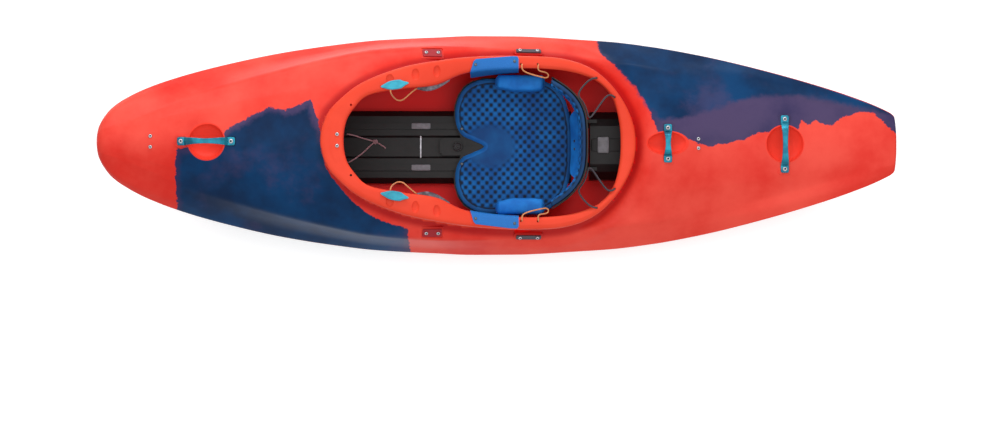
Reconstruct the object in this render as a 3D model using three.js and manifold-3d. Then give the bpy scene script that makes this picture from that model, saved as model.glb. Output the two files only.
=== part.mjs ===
// A short river-running whitewater kayak with its cockpit outfitting, in millimetres.
// Frame: bow towards -X, stern towards +X, port towards -Y, +Z up.
// The origin is under the middle of the boat, on the surface that the hull stands on.

import * as THREE from 'three';
import { mergeVertices } from 'three/addons/utils/BufferGeometryUtils.js';
import Module from 'manifold-3d';

const wasm = await Module();
wasm.setup();

// Driving dimensions of the hull moulding
const HULL_LENGTH = 2320;
const HALF_BEAM = 325;
const HULL_HEIGHT = 405;
const HULL_WALL = 6;
const FIT_GAP = 0.4;
const CUT_OVERRUN = 20;
const MERGE_DISTANCE = 0.0001;
const SLIVER_SIZE = 0.05;

// Coaming, the rim round the cockpit
const COAMING_LENGTH = 908;
const COAMING_HALF_WIDTH = 252;
const COAMING_CENTRE_X = -57.5;
const LIP_DEPTH = 20;
const LIP_ROUND = 9;
const LIP_REACH = 24;
const COAMING_WALL = 8;
const FLANGE_THICKNESS = 8;
const FLANGE_FOLD = 18;
const FLANGE_STEP = 1;
const WALL_SINK = 4;
const PLUG_INSET = 4;

// Pockets for the fingers in the thigh grips
const GRIP_POCKET_RADIUS = 17;
const GRIP_POCKET_DEPTH = 6;

// Grab handles
const HANDLE_THICKNESS = 5;
const HANDLE_END_WIDTH = 24;
const HANDLE_WAIST_WIDTH = 15;
const HANDLE_END_LENGTH = 22;
const BOW_HANDLE_SPACING = 143.8;
const BOW_HANDLE_ARCH = 20;
const MID_HANDLE_SETBACK = 93.5;
const MID_HANDLE_SPACING = 90;
const MID_HANDLE_ARCH = 14;
const STERN_HANDLE_SPACING = 146;
const STERN_HANDLE_ARCH = 18;
const HANDLE_PAD_DEPTH = 26;
const HANDLE_SEAT_LIFT = 2;
const HANDLE_PAD_MARGIN = 3;
const HANDLE_RECESS = 16;

// Dishes in the deck under the handles
const BOW_DISH_RADIUS = 52;
const BOW_DISH_DEPTH = 30;
const MID_DISH_LENGTH = 120;
const MID_DISH_WIDTH = 66;
const MID_DISH_DEPTH = 22;
const STERN_DISH_RADIUS = 54;
const STERN_DISH_DEPTH = 28;

// Fasteners
const BOLT_HEAD_RADIUS = 7;
const BOLT_HEAD_HEIGHT = 4;
const BOLT_SHANK_RADIUS = 3;
const BOLT_LENGTH = 16;
const SMALL_HEAD_RADIUS = 5.5;
const SMALL_HEAD_HEIGHT = 3;
const SMALL_SHANK_RADIUS = 2.4;
const SMALL_BOLT_LENGTH = 14;

// Plates and bars beside the coaming
const POCKET_PLATE_OUTSET = 10;
const POCKET_PLATE_LENGTH = 56;
const POCKET_PLATE_WIDTH = 26;
const PLATE_THICKNESS = 3;
const POCKET_BOLT_SPACING = 35;
const SIDE_BAR_OUTSET = 20;
const SIDE_BAR_LENGTH = 74;
const SIDE_BAR_WIDTH = 14;
const SIDE_BAR_THICKNESS = 4;
const SIDE_BAR_BOLT_SPACING = 52;
const PLATE_PAD_DEPTH = 24;
const PLATE_PAD_MARGIN = 4;
const PLATE_RECESS = 12;
const POCKET_SINK = 3;
const SIDE_BAR_SINK = 1;

// Bolts through the coaming, deck and sides
const COAMING_BOLT_SETBACK = 49.5;
const COAMING_BOLT_SPACING = 33;
const BOW_SCREW_SPACING = 31;
const STERN_SCREW_SETBACK = 90;
const STERN_SCREW_SPACING = 27;
const RAIL_BOLT_SPACING = 82;
const RAIL_BOLT_Z = 116;
const RAIL_BOLT_MIDDLE_X = -524;
const RAIL_BOLT_SINK = 1.5;
const BOSS_RIM_WIDTH = 2;
const BOSS_RIM_HEIGHT = 0.5;

// Footrest on its two rails
const RAIL_LENGTH = 230;
const RAIL_HEIGHT = 22;
const RAIL_THICKNESS = 9;
const RAIL_CLEARANCE = 1;
const RAIL_STANDOFF_RADIUS = 11;
const FOOTREST_X = -560;
const FOOTREST_TRAVEL = 55;
const FOOTREST_THICKNESS = 8;
const FOOTREST_MARGIN = 8;
const FOOTREST_TOP_Z = 250;
const FOOTREST_SLOT_GAP = 0.5;
const FOOT_PAD_THICKNESS = 22;
const FOOT_PAD_HALF_WIDTH = 170;
const FOOT_PAD_BOTTOM_Z = 70;
const FOOT_PAD_TOP_Z = 225;
const FOOT_PAD_CROWN = 9;

// Foam pillars that keep the deck up
const PILLAR_HALF_WIDTH = 30;
const PILLAR_CLEARANCE = 37;

// Floor console that carries the seat
const CONSOLE_START_X = -470;
const CONSOLE_END_X = 214;
const CONSOLE_HALF_WIDTH = 108;
const CONSOLE_TOP_Z = 50;
const CONSOLE_SHOULDER_DROP = 14;
const CONSOLE_SHOULDER = 16;
const RUNNER_HALF_WIDTH = 9;
const RUNNER_Y = 62;
const RUNNER_HEIGHT = 8;
const CONSOLE_GROOVE_HALF_WIDTH = 34;
const CONSOLE_GROOVE_DEPTH = 6;

// Seat
const SEAT_CENTRE_X = 60;
const SEAT_HALF_LENGTH = 172;
const SEAT_REAR_LENGTH = 140;
const SEAT_HALF_WIDTH = 203;
const SEAT_SIDE_RISE = 30;
const SEAT_REAR_RISE = 16;
const SEAT_FRONT_RISE = 14;
const SEAT_PAN_THICKNESS = 8;
const SEAT_PAN_LIFT = 6.5;
const SEAT_TONGUE_START_X = -178;
const SEAT_TONGUE_HALF_WIDTH = 26;
const SEAT_TONGUE_CORNER = 10;
const PAD_THICKNESS = 13;
const PAD_GAP = 1;
const PAD_EDGE_THICKNESS = 5;
const SEAT_RUN_GAP = 0.4;
const KNOB_X = -124;
const KNOB_RADIUS = 14;
const KNOB_HEIGHT = 12;
const KNOB_BOSS_HEIGHT = 2;
const KNOB_SHANK_RADIUS = 4;
const KNOB_SHANK_LENGTH = 7;

// Tail of the outfitting behind the seat, which carries the backband
const TAIL_START_X = 267;
const TAIL_END_X = 371.6;
const TAIL_HALF_WIDTH = 100;
const TAIL_TOP_Z = 150;
const TAIL_EDGE = 22;
const TAIL_EAR_Y = 70;
const TAIL_EAR_THICKNESS = 10;
const TAIL_EAR_HEIGHT = 26;
const BACKBAND_PIN_RADIUS = 5;
const BACKBAND_PIVOT_X = 253.5;
const BACKBAND_PIVOT_Z = 138;
const BACKBAND_EAR_RADIUS = 14;

// Backband
const BACKBAND_X = 256;
const BACKBAND_SWEEP = 104;
const BACKBAND_HALF_WIDTH = 192;
const BACKBAND_TOP_Z = 306;
const BACKBAND_BOTTOM_Z = 158;
const BACKBAND_TIP_DROP = 42;
const BACKBAND_TIP_RISE = 64;
const SHELL_THICKNESS = 5;
const BAND_PAD_THICKNESS = 20;

// Hip pads and the tabs that hang them from the coaming
const HIP_PAD_START_X = -14;
const HIP_PAD_END_X = 126;
const HIP_PAD_Y = 183;
const HIP_PAD_THICKNESS = 46;
const HIP_PAD_BOTTOM_Z = 116;
const HIP_PAD_TOP_Z = 192;
const HIP_PAD_CROWN = 12;
const RIM_TAB_THICKNESS = 3;
const RIM_TAB_GAP = 0.9;
const RIM_TAB_REACH = 36;
const RIM_TAB_BOTTOM_Z = 150;

// Tightening cords, toggles and guides
const TOGGLE_LENGTH = 82;
const TOGGLE_WIDTH = 27;
const TOGGLE_THICKNESS = 8;
const TOGGLE_LIFT = 6.5;
const TOGGLE_CORD_DIAMETER = 4;
const GUIDE_HEIGHT = 12;
const GUIDE_REACH = 13;
const GUIDE_DEPTH = 6;
const ELASTIC_DIAMETER = 5;
const LOOP_CORD_DIAMETER = 4;
const FRONT_CORD_DIAMETER = 4;
const FRONT_KNOT_RADIUS = 6;
const FRONT_HOLE_DEPTH = 14;
const CORD_HOLE_GAP = 1.2;
const CORD_HOLE_INSET = 12;
const ELASTIC_Z = 274;
const WING_CORD_CLEARANCE = 8;
const CORD_HOLE_DEPTH = 14;
const CORD_DIP = 5;
const BAND_CORD_GAP = 3.2;

// Table of offsets. Each row holds shares along the length (0 at the bow), then shares of the hull
// height for the keel, and pairs of half-beam and height shares for the rail of the planing bottom,
// the chine, the gunwale, the shoulder and the ridge of the raised deck, then the deck's middle.
const offsetShares = [
  [0.000, 0.748, 0.035, 0.750, 0.070, 0.760, 0.092, 0.778, 0.075, 0.792, 0.045, 0.802, 0.806],
  [0.004, 0.711, 0.070, 0.716, 0.135, 0.728, 0.172, 0.752, 0.150, 0.780, 0.090, 0.812, 0.826],
  [0.009, 0.677, 0.095, 0.684, 0.185, 0.705, 0.235, 0.740, 0.205, 0.775, 0.110, 0.822, 0.838],
  [0.016, 0.632, 0.120, 0.641, 0.240, 0.672, 0.303, 0.716, 0.262, 0.762, 0.125, 0.824, 0.841],
  [0.031, 0.556, 0.160, 0.568, 0.310, 0.618, 0.389, 0.684, 0.335, 0.742, 0.160, 0.806, 0.834],
  [0.061, 0.435, 0.215, 0.450, 0.410, 0.545, 0.507, 0.615, 0.432, 0.690, 0.250, 0.780, 0.826],
  [0.106, 0.291, 0.285, 0.306, 0.520, 0.460, 0.629, 0.531, 0.530, 0.628, 0.385, 0.728, 0.826],
  [0.165, 0.163, 0.365, 0.176, 0.645, 0.375, 0.747, 0.457, 0.636, 0.562, 0.520, 0.706, 0.850],
  [0.225, 0.079, 0.435, 0.088, 0.755, 0.305, 0.842, 0.402, 0.735, 0.510, 0.640, 0.720, 0.874],
  [0.285, 0.035, 0.500, 0.041, 0.835, 0.250, 0.910, 0.370, 0.820, 0.470, 0.745, 0.735, 0.904],
  [0.344, 0.014, 0.555, 0.017, 0.890, 0.200, 0.959, 0.350, 0.890, 0.450, 0.825, 0.700, 0.915],
  [0.404, 0.002, 0.595, 0.002, 0.922, 0.165, 0.982, 0.335, 0.925, 0.430, 0.860, 0.640, 0.900],
  [0.419, 0.000, 0.600, 0.000, 0.928, 0.160, 0.986, 0.333, 0.930, 0.425, 0.865, 0.622, 0.880],
  [0.463, 0.000, 0.610, 0.000, 0.940, 0.145, 1.000, 0.328, 0.940, 0.415, 0.860, 0.565, 0.760],
  [0.523, 0.000, 0.605, 0.000, 0.938, 0.140, 0.998, 0.326, 0.935, 0.405, 0.830, 0.520, 0.560],
  [0.553, 0.000, 0.590, 0.000, 0.928, 0.140, 0.990, 0.325, 0.920, 0.400, 0.800, 0.505, 0.530],
  [0.583, 0.015, 0.575, 0.018, 0.915, 0.142, 0.977, 0.323, 0.900, 0.395, 0.780, 0.495, 0.520],
  [0.642, 0.042, 0.540, 0.048, 0.880, 0.160, 0.950, 0.319, 0.865, 0.395, 0.740, 0.490, 0.520],
  [0.668, 0.060, 0.520, 0.066, 0.856, 0.172, 0.930, 0.316, 0.840, 0.394, 0.715, 0.482, 0.545],
  [0.690, 0.078, 0.503, 0.085, 0.834, 0.184, 0.908, 0.314, 0.818, 0.390, 0.698, 0.474, 0.598],
  [0.702, 0.086, 0.495, 0.094, 0.820, 0.190, 0.896, 0.314, 0.800, 0.388, 0.685, 0.468, 0.605],
  [0.762, 0.143, 0.440, 0.153, 0.735, 0.230, 0.814, 0.333, 0.715, 0.390, 0.600, 0.430, 0.548],
  [0.821, 0.212, 0.380, 0.224, 0.635, 0.285, 0.710, 0.373, 0.615, 0.408, 0.515, 0.424, 0.510],
  [0.881, 0.299, 0.310, 0.311, 0.520, 0.355, 0.588, 0.415, 0.500, 0.440, 0.400, 0.448, 0.505],
  [0.940, 0.391, 0.235, 0.402, 0.395, 0.425, 0.448, 0.457, 0.375, 0.475, 0.290, 0.484, 0.518],
  [0.985, 0.462, 0.180, 0.470, 0.280, 0.480, 0.312, 0.494, 0.270, 0.508, 0.210, 0.522, 0.534],
  [0.997, 0.484, 0.160, 0.489, 0.230, 0.495, 0.255, 0.503, 0.225, 0.513, 0.180, 0.524, 0.531],
  [1.000, 0.492, 0.120, 0.495, 0.165, 0.500, 0.182, 0.507, 0.160, 0.514, 0.130, 0.522, 0.526],
];
const extraStationShares = [
  0.023, 0.045, 0.083, 0.135, 0.195, 0.255, 0.315, 0.374, 0.440, 0.612, 0.731, 0.791, 0.851, 0.911,
];
// How far each corner of a section is rounded, as a share of the sides that meet there
const cornerShares = { rail: 0.30, chine: 0.32, gunwale: 0.16, shoulder: 0.34, ridge: 0.16 };
const crownShares = [0.66, 0.33];
const crownPower = 1.8;

// Places along the boat, as shares of its length from the bow
const stationPlaceShares = {
  bowHandle: 0.1372,
  sternHandle: 0.85966,
  bowScrew: 0.06767,
  bowPillarStart: 0.05172,
  sternPillarEnd: 0.87069,
};

// Half of the coaming's outline from the front to the rear: shares of its length and half width
// for the outer lip, then for the inner opening, then the share of the hull height of its top.
const coamingShares = [
  [0.000, 0.000, 0.074, 0.000, 1.000],
  [0.022, 0.297, 0.084, 0.229, 1.000],
  [0.067, 0.480, 0.108, 0.366, 1.000],
  [0.124, 0.640, 0.146, 0.500, 0.990],
  [0.253, 0.831, 0.263, 0.589, 0.951],
  [0.381, 0.926, 0.362, 0.640, 0.885],
  [0.473, 0.971, 0.457, 0.783, 0.825],
  [0.629, 1.000, 0.629, 0.854, 0.700],
  [0.771, 0.971, 0.756, 0.840, 0.660],
  [0.860, 0.857, 0.829, 0.783, 0.655],
  [0.921, 0.674, 0.883, 0.691, 0.650],
  [0.968, 0.434, 0.924, 0.520, 0.637],
  [0.994, 0.194, 0.946, 0.251, 0.630],
  [1.000, 0.000, 0.951, 0.000, 0.628],
];
const coamingSteps = 64;

// Half of the seat's outline seen from above: shares of its half length (front) or rear length,
// and of its half width, from the middle of the front edge round to the middle of the rear edge
const seatOutlineShares = [
  [-0.98, 0.00], [-1.04, 0.17], [-1.13, 0.36], [-1.12, 0.62], [-0.98, 0.86], [-0.72, 0.98],
  [-0.30, 1.00], [0.20, 0.99], [0.62, 0.93], [0.90, 0.74], [1.05, 0.40], [1.08, 0.00],
];
const padOutlineShares = [
  [-0.62, 0.00], [-0.80, 0.085], [-1.00, 0.17], [-1.10, 0.34], [-1.09, 0.62], [-0.95, 0.84],
  [-0.70, 0.96], [-0.30, 0.98], [0.20, 0.97], [0.61, 0.91], [0.88, 0.72], [1.02, 0.39], [1.05, 0.00],
];
const seatRingShares = [0.35, 0.7, 0.92];
const seatSteps = 38;

// Places along the coaming where the cords enter it, as shares of its length
const cordHoleShares = { elasticOuter: 0.896, elasticInner: 0.962, loopFront: 0.636, loopRear: 0.692 };
const togglePlaceShares = { front: 0.182, rear: 0.270 };
const platePlaceShares = { pocketPlate: 0.34857, sideBar: 0.65694 };
const guidePlaceShares = { front: 0.305, rear: 0.425 };
const rimTabPlaceShares = { front: 0.465, rear: 0.645 };
// Places along the toggle's length, and its width there, from its rear tip to its front tip
const toggleWidthShares = [
  [-1.00, 0.22], [-0.72, 0.42], [-0.48, 0.88], [-0.10, 1.00], [0.30, 0.92], [0.62, 0.62], [1.00, 0.24],
];
const gripPocketShares = [0.215, 0.300, 0.370];
const gripPocketInsetShare = 0.45;
const gripPocketSquashShare = 0.7;

// Points of the lip's round, as shares of its radius, and how far the flange tapers to its edge
const lipRoundShares = {
  foot: 1.3, side: 0.3, shoulder: 0.35, top: 1.3, inner: 0.7, innerDrop: 0.6, under: 0.5, underRise: 0.4,
};
const flangeTaperShare = 0.7;

// Shares that shape the small pieces
const boltHeadShares = { brim: 0.45, crown: 0.72 };
const barEdgeShare = 0.3;
const plateCornerShare = 0.18;
const footPadShoulderShare = 0.25;
const hipPadBulgeShare = 0.2;
const knotFlatShare = 0.43;
const cordRideShare = 0.8;
const backbandEarShare = 0.8;
const knobProfileShares = [
  [0.8, 0], [0.8, 0.3], [1, 0.45], [1, 0.85], [0.9, 1], [0.5, 1], [0.45, 0.88], [0, 0.88],
];

// Exponents of the seat's rises and of the backband's curve
const seatSidePower = 2.4;
const seatRearPower = 2;
const seatFrontPower = 3;
const bandSweepPower = 3.4;
const bandRisePower = 1.6;
const bandDropPower = 3;

// The backband's section: its rounded edges, how its trim is shared, and how its ends thin out
const bandShares = { edge: 0.22, trim: 0.4, probe: 0.01, tip: 0.35 };
const bandTipGrowth = 12;

const colours = {
  hull: 0xf0432c, turquoise: 0x2aa6bf, steel: 0xc9cbd0, plate: 0xb3232b, bar: 0x4a4a4e,
  black: 0x1c1b1e, blue: 0x1668b8, foam: 0x3a3b40, grey: 0x8a8b90, cord: 0x4b434b, orange: 0xe98a52,
  pink: 0xc99aa6,
};

const sides = [['port', -1], ['starboard', 1]];

const kayak = new THREE.Group();
kayak.name = 'kayak';

// Materials and nodes

function finish(colour, roughness, metalness) {
  return new THREE.MeshStandardMaterial({ color: colour, roughness, metalness });
}

const plastic = (colour) => finish(colour, 0.42, 0);
const foam = (colour) => finish(colour, 0.85, 0);
const metal = (colour) => finish(colour, 0.28, 0.9);
const cloth = (colour) => finish(colour, 0.8, 0);

function place(name, geometry, material, parent = kayak) {
  const mesh = new THREE.Mesh(faceOutwards(geometry), material);
  mesh.name = name;
  parent.add(mesh);
  return mesh;
}

// Closed meshes and booleans

function signedVolume(positions, index) {
  let volume = 0;
  const a = new THREE.Vector3();
  const b = new THREE.Vector3();
  const c = new THREE.Vector3();
  for (let i = 0; i < index.length; i += 3) {
    a.fromArray(positions, 3 * index[i]);
    b.fromArray(positions, 3 * index[i + 1]);
    c.fromArray(positions, 3 * index[i + 2]);
    volume += a.dot(b.cross(c));
  }
  return volume;
}

// Its vertices shared and only their positions kept, with its faces turned outwards
function faceOutwards(geometry) {
  const bare = geometry.clone();
  for (const name of Object.keys(bare.attributes)) {
    if (name !== 'position') bare.deleteAttribute(name);
  }
  const merged = mergeVertices(bare, MERGE_DISTANCE);
  const index = Array.from(merged.index.array);
  if (signedVolume(merged.attributes.position.array, index) < 0) index.reverse();
  merged.setIndex(index);
  return merged;
}

function closedGeometry(points, triangles) {
  const positions = new Float32Array(points.flatMap((p) => [p.x, p.y, p.z]));
  const geometry = new THREE.BufferGeometry();
  geometry.setAttribute('position', new THREE.BufferAttribute(positions, 3));
  geometry.setIndex(triangles.flat());
  return geometry;
}

function toSolid(geometry) {
  const closed = faceOutwards(geometry);
  return new wasm.Manifold(new wasm.Mesh({
    numProp: 3,
    vertProperties: new Float32Array(closed.attributes.position.array),
    triVerts: new Uint32Array(closed.index.array),
  }));
}

function toGeometry(solid) {
  const mesh = solid.asOriginal().simplify(SLIVER_SIZE).getMesh();
  const geometry = new THREE.BufferGeometry();
  geometry.setAttribute('position', new THREE.BufferAttribute(mesh.vertProperties, 3));
  geometry.setIndex(new THREE.BufferAttribute(mesh.triVerts, 1));
  return geometry;
}

// The walls between rings of equal count
function ringWalls(rings, closed) {
  const count = rings[0].length;
  const triangles = [];
  const spans = closed ? rings.length : rings.length - 1;
  for (let r = 0; r < spans; r += 1) {
    const next = (r + 1) % rings.length;
    for (let i = 0; i < count; i += 1) {
      const j = (i + 1) % count;
      triangles.push([r * count + i, r * count + j, next * count + j]);
      triangles.push([r * count + i, next * count + j, next * count + i]);
    }
  }
  return triangles;
}

// A solid skinned over rings, its ends closed by fans from their middles
function loft(rings) {
  const count = rings[0].length;
  const points = rings.flat();
  const triangles = ringWalls(rings, false);
  for (const [r, flip] of [[0, true], [rings.length - 1, false]]) {
    const middle = rings[r].reduce((sum, p) => sum.add(p), new THREE.Vector3()).divideScalar(count);
    const hub = points.push(middle) - 1;
    for (let i = 0; i < count; i += 1) {
      const a = r * count + i;
      const b = r * count + ((i + 1) % count);
      triangles.push(flip ? [hub, b, a] : [hub, a, b]);
    }
  }
  return closedGeometry(points, triangles);
}

// A solid skinned over bent sections that cross the boat, its ends closed by flat faces
function bentLoft(rings) {
  const count = rings[0].length;
  const triangles = ringWalls(rings, false);
  const flat = rings[0].map((p) => new THREE.Vector2(p.y, p.z));
  const clockwise = THREE.ShapeUtils.isClockWise(flat);
  for (const [a, b, c] of THREE.ShapeUtils.triangulateShape(flat, [])) {
    const last = (rings.length - 1) * count;
    triangles.push(clockwise ? [a, b, c] : [a, c, b]);
    triangles.push(clockwise ? [last + a, last + c, last + b] : [last + a, last + b, last + c]);
  }
  return closedGeometry(rings.flat(), triangles);
}

// A solid with one outline across the boat, extruded between two places along it
function crossExtrusion(outline, start, end) {
  const shape = new THREE.Shape(outline.map(([y, z]) => new THREE.Vector2(y, z)));
  const bar = new THREE.ExtrudeGeometry(shape, { depth: end - start, bevelEnabled: false });
  const turn = new THREE.Matrix4().makeBasis(
    new THREE.Vector3(0, 1, 0), new THREE.Vector3(0, 0, 1), new THREE.Vector3(1, 0, 0),
  );
  return toSolid(bar.applyMatrix4(turn.setPosition(start, 0, 0)));
}

// A solid skinned over rings whose last ring joins the first
function closedLoft(rings) {
  return closedGeometry(rings.flat(), ringWalls(rings, true));
}

function boxSolid(min, max) {
  const size = new THREE.Vector3().subVectors(max, min);
  const box = new THREE.BoxGeometry(size.x, size.y, size.z);
  box.translate((min.x + max.x) / 2, (min.y + max.y) / 2, (min.z + max.z) / 2);
  return toSolid(box);
}

// A block with its top face in the frame's own XY plane
function blockUnder(frame, length, width, depth) {
  const box = new THREE.BoxGeometry(length, width, depth);
  box.translate(0, 0, -depth / 2);
  return toSolid(box.applyMatrix4(frame));
}

const holeSides = 8;

// A round bar along the frame's own Z axis, from low to high
function barSolid(frame, radius, low, high, sides = holeSides) {
  const bar = new THREE.CylinderGeometry(radius, radius, high - low, sides);
  bar.rotateX(Math.PI / 2);
  bar.translate(0, 0, (high + low) / 2);
  return toSolid(bar.applyMatrix4(frame));
}

function shifted(frame, x, y, z) {
  return frame.clone().multiply(new THREE.Matrix4().makeTranslation(x, y, z));
}

function mirrorY(frame) {
  return new THREE.Matrix4().makeScale(1, -1, 1).multiply(frame);
}

// A frame at a point with its own X and Z axes given
function frameAt(point, along, up) {
  const z = up.clone().normalize();
  const y = new THREE.Vector3().crossVectors(z, along).normalize();
  const x = new THREE.Vector3().crossVectors(y, z);
  return new THREE.Matrix4().makeBasis(x, y, z).setPosition(point);
}

// A tube along a smooth curve through the points
function tube(points, diameter, sides, steps) {
  const curve = new THREE.CatmullRomCurve3(points, false, 'centripetal');
  const section = new THREE.Shape();
  for (let i = 0; i < sides; i += 1) {
    const angle = (2 * Math.PI * i) / sides;
    const x = (diameter / 2) * Math.cos(angle);
    const y = (diameter / 2) * Math.sin(angle);
    if (i === 0) section.moveTo(x, y);
    else section.lineTo(x, y);
  }
  section.closePath();
  return new THREE.ExtrudeGeometry(section, { steps, extrudePath: curve, curveSegments: 1 });
}

// Hull surface

// Values between the rows of a table, by a cubic that never overshoots its rows
function monotoneTable(rows) {
  const secant = rows.slice(1).map((row, i) => (row[1] - rows[i][1]) / (row[0] - rows[i][0]));
  const slope = rows.map((row, i) => {
    if (i === 0) return secant[0];
    if (i === rows.length - 1) return secant[i - 1];
    if (secant[i - 1] * secant[i] <= 0) return 0;
    return (2 * secant[i - 1] * secant[i]) / (secant[i - 1] + secant[i]);
  });
  return (x) => {
    let i = 0;
    while (i < rows.length - 2 && x > rows[i + 1][0]) i += 1;
    const step = rows[i + 1][0] - rows[i][0];
    const t = Math.min(1, Math.max(0, (x - rows[i][0]) / step));
    const h00 = (1 + 2 * t) * (1 - t) ** 2;
    const h10 = t * (1 - t) ** 2;
    const h01 = t * t * (3 - 2 * t);
    const h11 = t * t * (t - 1);
    return h00 * rows[i][1] + h10 * step * slope[i] + h01 * rows[i + 1][1] + h11 * step * slope[i + 1];
  };
}

const offsetCurves = offsetShares[0].slice(1).map(
  (_, column) => monotoneTable(offsetShares.map((row) => [row[0], row[column + 1]])),
);

function roundedCorner(before, corner, after, share) {
  const start = corner.clone().lerp(before, share);
  const end = corner.clone().lerp(after, share);
  const middle = start.clone().add(end).multiplyScalar(0.25).addScaledVector(corner, 0.5);
  return [start, middle, end];
}

// Half a section from the keel up to the middle of the deck, as (y, z) points
function halfSection(share) {
  const [keel, ...rest] = offsetCurves.map((curve) => curve(share));
  const deck = rest.pop();
  const corners = [new THREE.Vector2(0, keel * HULL_HEIGHT)];
  for (let i = 0; i < rest.length; i += 2) {
    corners.push(new THREE.Vector2(rest[i] * HALF_BEAM, rest[i + 1] * HULL_HEIGHT));
  }
  const top = new THREE.Vector2(0, deck * HULL_HEIGHT);
  const ridge = corners[corners.length - 1];
  const crown = crownShares.map((y) => new THREE.Vector2(
    y * ridge.x,
    top.y - (top.y - ridge.y) * y ** crownPower,
  ));
  const turns = Object.values(cornerShares);
  const chain = [...corners, crown[0]];
  const points = [corners[0]];
  for (let i = 1; i + 1 < chain.length; i += 1) {
    points.push(...roundedCorner(chain[i - 1], chain[i], chain[i + 1], turns[i - 1]));
  }
  return [...points, ...crown, top];
}

function wholeSection(share) {
  const half = halfSection(share);
  const other = half.slice(1, -1).reverse().map((p) => new THREE.Vector2(-p.x, p.y));
  return [...half, ...other];
}

// A section drawn in towards its middle until its flanks, deck and floor lie an inset further in
function insetSection(section, inset) {
  const halfBeam = Math.max(...section.map((p) => p.x));
  const low = Math.min(...section.map((p) => p.y));
  const high = Math.max(...section.map((p) => p.y));
  const middle = (low + high) / 2;
  const across = 1 - inset / halfBeam;
  const upward = 1 - (2 * inset) / (high - low);
  return section.map((p) => new THREE.Vector2(p.x * across, middle + (p.y - middle) * upward));
}

const stationX = (share) => (share - 0.5) * HULL_LENGTH;
const shareAt = (x) => x / HULL_LENGTH + 0.5;

const stationShares = [...offsetShares.map((row) => row[0]), ...extraStationShares]
  .sort((a, b) => a - b);

function sectionRing(share, inset) {
  const section = inset === 0 ? wholeSection(share) : insetSection(wholeSection(share), inset);
  return section.map((p) => new THREE.Vector3(stationX(share), p.x, p.y));
}

const innerStartShare = 0.02;
const innerEndShare = 0.98;

// The hull's outer form, or the space inside it at some distance from its outer face, which
// takes only the stations of the table
function hullForm(inset) {
  const inside = (share) => share > innerStartShare && share < innerEndShare;
  const shares = inset === 0 ? stationShares : offsetShares.map((row) => row[0]).filter(inside);
  return toSolid(loft(shares.map((share) => sectionRing(share, inset))));
}

// Height of a section over a point, on its deck or on its floor
function sectionHeight(share, y, onDeck, inset) {
  const half = insetSection(wholeSection(share), inset).slice(0, halfSection(share).length);
  const widest = half.reduce((best, p, i) => (p.x > half[best].x ? i : best), 0);
  const run = onDeck ? half.slice(widest).reverse() : half.slice(0, widest + 1);
  const at = Math.min(Math.abs(y), half[widest].x);
  for (let i = 0; i + 1 < run.length; i += 1) {
    if (at <= run[i + 1].x) {
      const t = (at - run[i].x) / Math.max(run[i + 1].x - run[i].x, Number.EPSILON);
      return run[i].y + Math.max(t, 0) * (run[i + 1].y - run[i].y);
    }
  }
  return run[run.length - 1].y;
}

function hullHeight(x, y, onDeck, inset = 0) {
  const share = shareAt(x);
  let i = 0;
  while (i < stationShares.length - 2 && share > stationShares[i + 1]) i += 1;
  const low = stationShares[i];
  const high = stationShares[i + 1];
  const t = (share - low) / (high - low);
  const a = sectionHeight(low, y, onDeck, inset);
  const b = sectionHeight(high, y, onDeck, inset);
  return a + t * (b - a);
}

const slopeProbe = HULL_WALL;

// A frame that lies on the deck, its X axis along the boat
function deckFrame(x, y) {
  const rise = (dx, dy) => hullHeight(x + dx, y + dy, true) - hullHeight(x - dx, y - dy, true);
  const along = new THREE.Vector3(2 * slopeProbe, 0, rise(slopeProbe, 0));
  const across = new THREE.Vector3(0, 2 * slopeProbe, rise(0, slopeProbe));
  const up = new THREE.Vector3().crossVectors(along, across);
  return frameAt(new THREE.Vector3(x, y, hullHeight(x, y, true)), along, up);
}

// Coaming

const coamingX = (share) => COAMING_CENTRE_X + (share - 0.5) * COAMING_LENGTH;

const bowHandleX = stationX(stationPlaceShares.bowHandle);
const midHandleX = coamingX(1) + MID_HANDLE_SETBACK;
const sternHandleX = stationX(stationPlaceShares.sternHandle);
const coamingBoltX = coamingX(0) + COAMING_BOLT_SETBACK;
const bowScrewX = stationX(stationPlaceShares.bowScrew);
const sternScrewX = midHandleX + STERN_SCREW_SETBACK;

// A closed curve through half an outline and its mirror image
function mirroredCurve(half) {
  const back = half.slice(1, -1).reverse().map((p) => new THREE.Vector3(p.x, -p.y, p.z));
  return new THREE.CatmullRomCurve3([...half, ...back], true, 'centripetal');
}

const lipCurve = mirroredCurve(coamingShares.map(
  ([x, y, , , z]) => new THREE.Vector3(coamingX(x), y * COAMING_HALF_WIDTH, z * HULL_HEIGHT),
));
const openingCurve = mirroredCurve(coamingShares.map(
  ([, , x, y, z]) => new THREE.Vector3(coamingX(x), y * COAMING_HALF_WIDTH, z * HULL_HEIGHT),
));

// One place round the coaming: its lip, its opening edge and the direction inwards
function coamingPlace(t) {
  const lip = lipCurve.getPoint(t % 1);
  const edge = openingCurve.getPoint(t % 1);
  const inward = new THREE.Vector3(edge.x - lip.x, edge.y - lip.y, 0);
  const width = inward.length();
  return { lip, inward: inward.normalize(), width };
}

// The curve parameter on the starboard half where the lip reaches a share of the length
function coamingParameter(share) {
  let low = 0;
  let high = 0.5;
  for (let i = 0; i < 30; i += 1) {
    const middle = (low + high) / 2;
    if (lipCurve.getPoint(middle).x < coamingX(share)) low = middle;
    else high = middle;
  }
  return (low + high) / 2;
}

// Inset of the outer face of the coaming's wall, which stands further out where the rim is narrow
function wallReach(width) {
  return Math.min(LIP_REACH, width - COAMING_WALL - FLANGE_THICKNESS - FLANGE_STEP);
}

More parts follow.
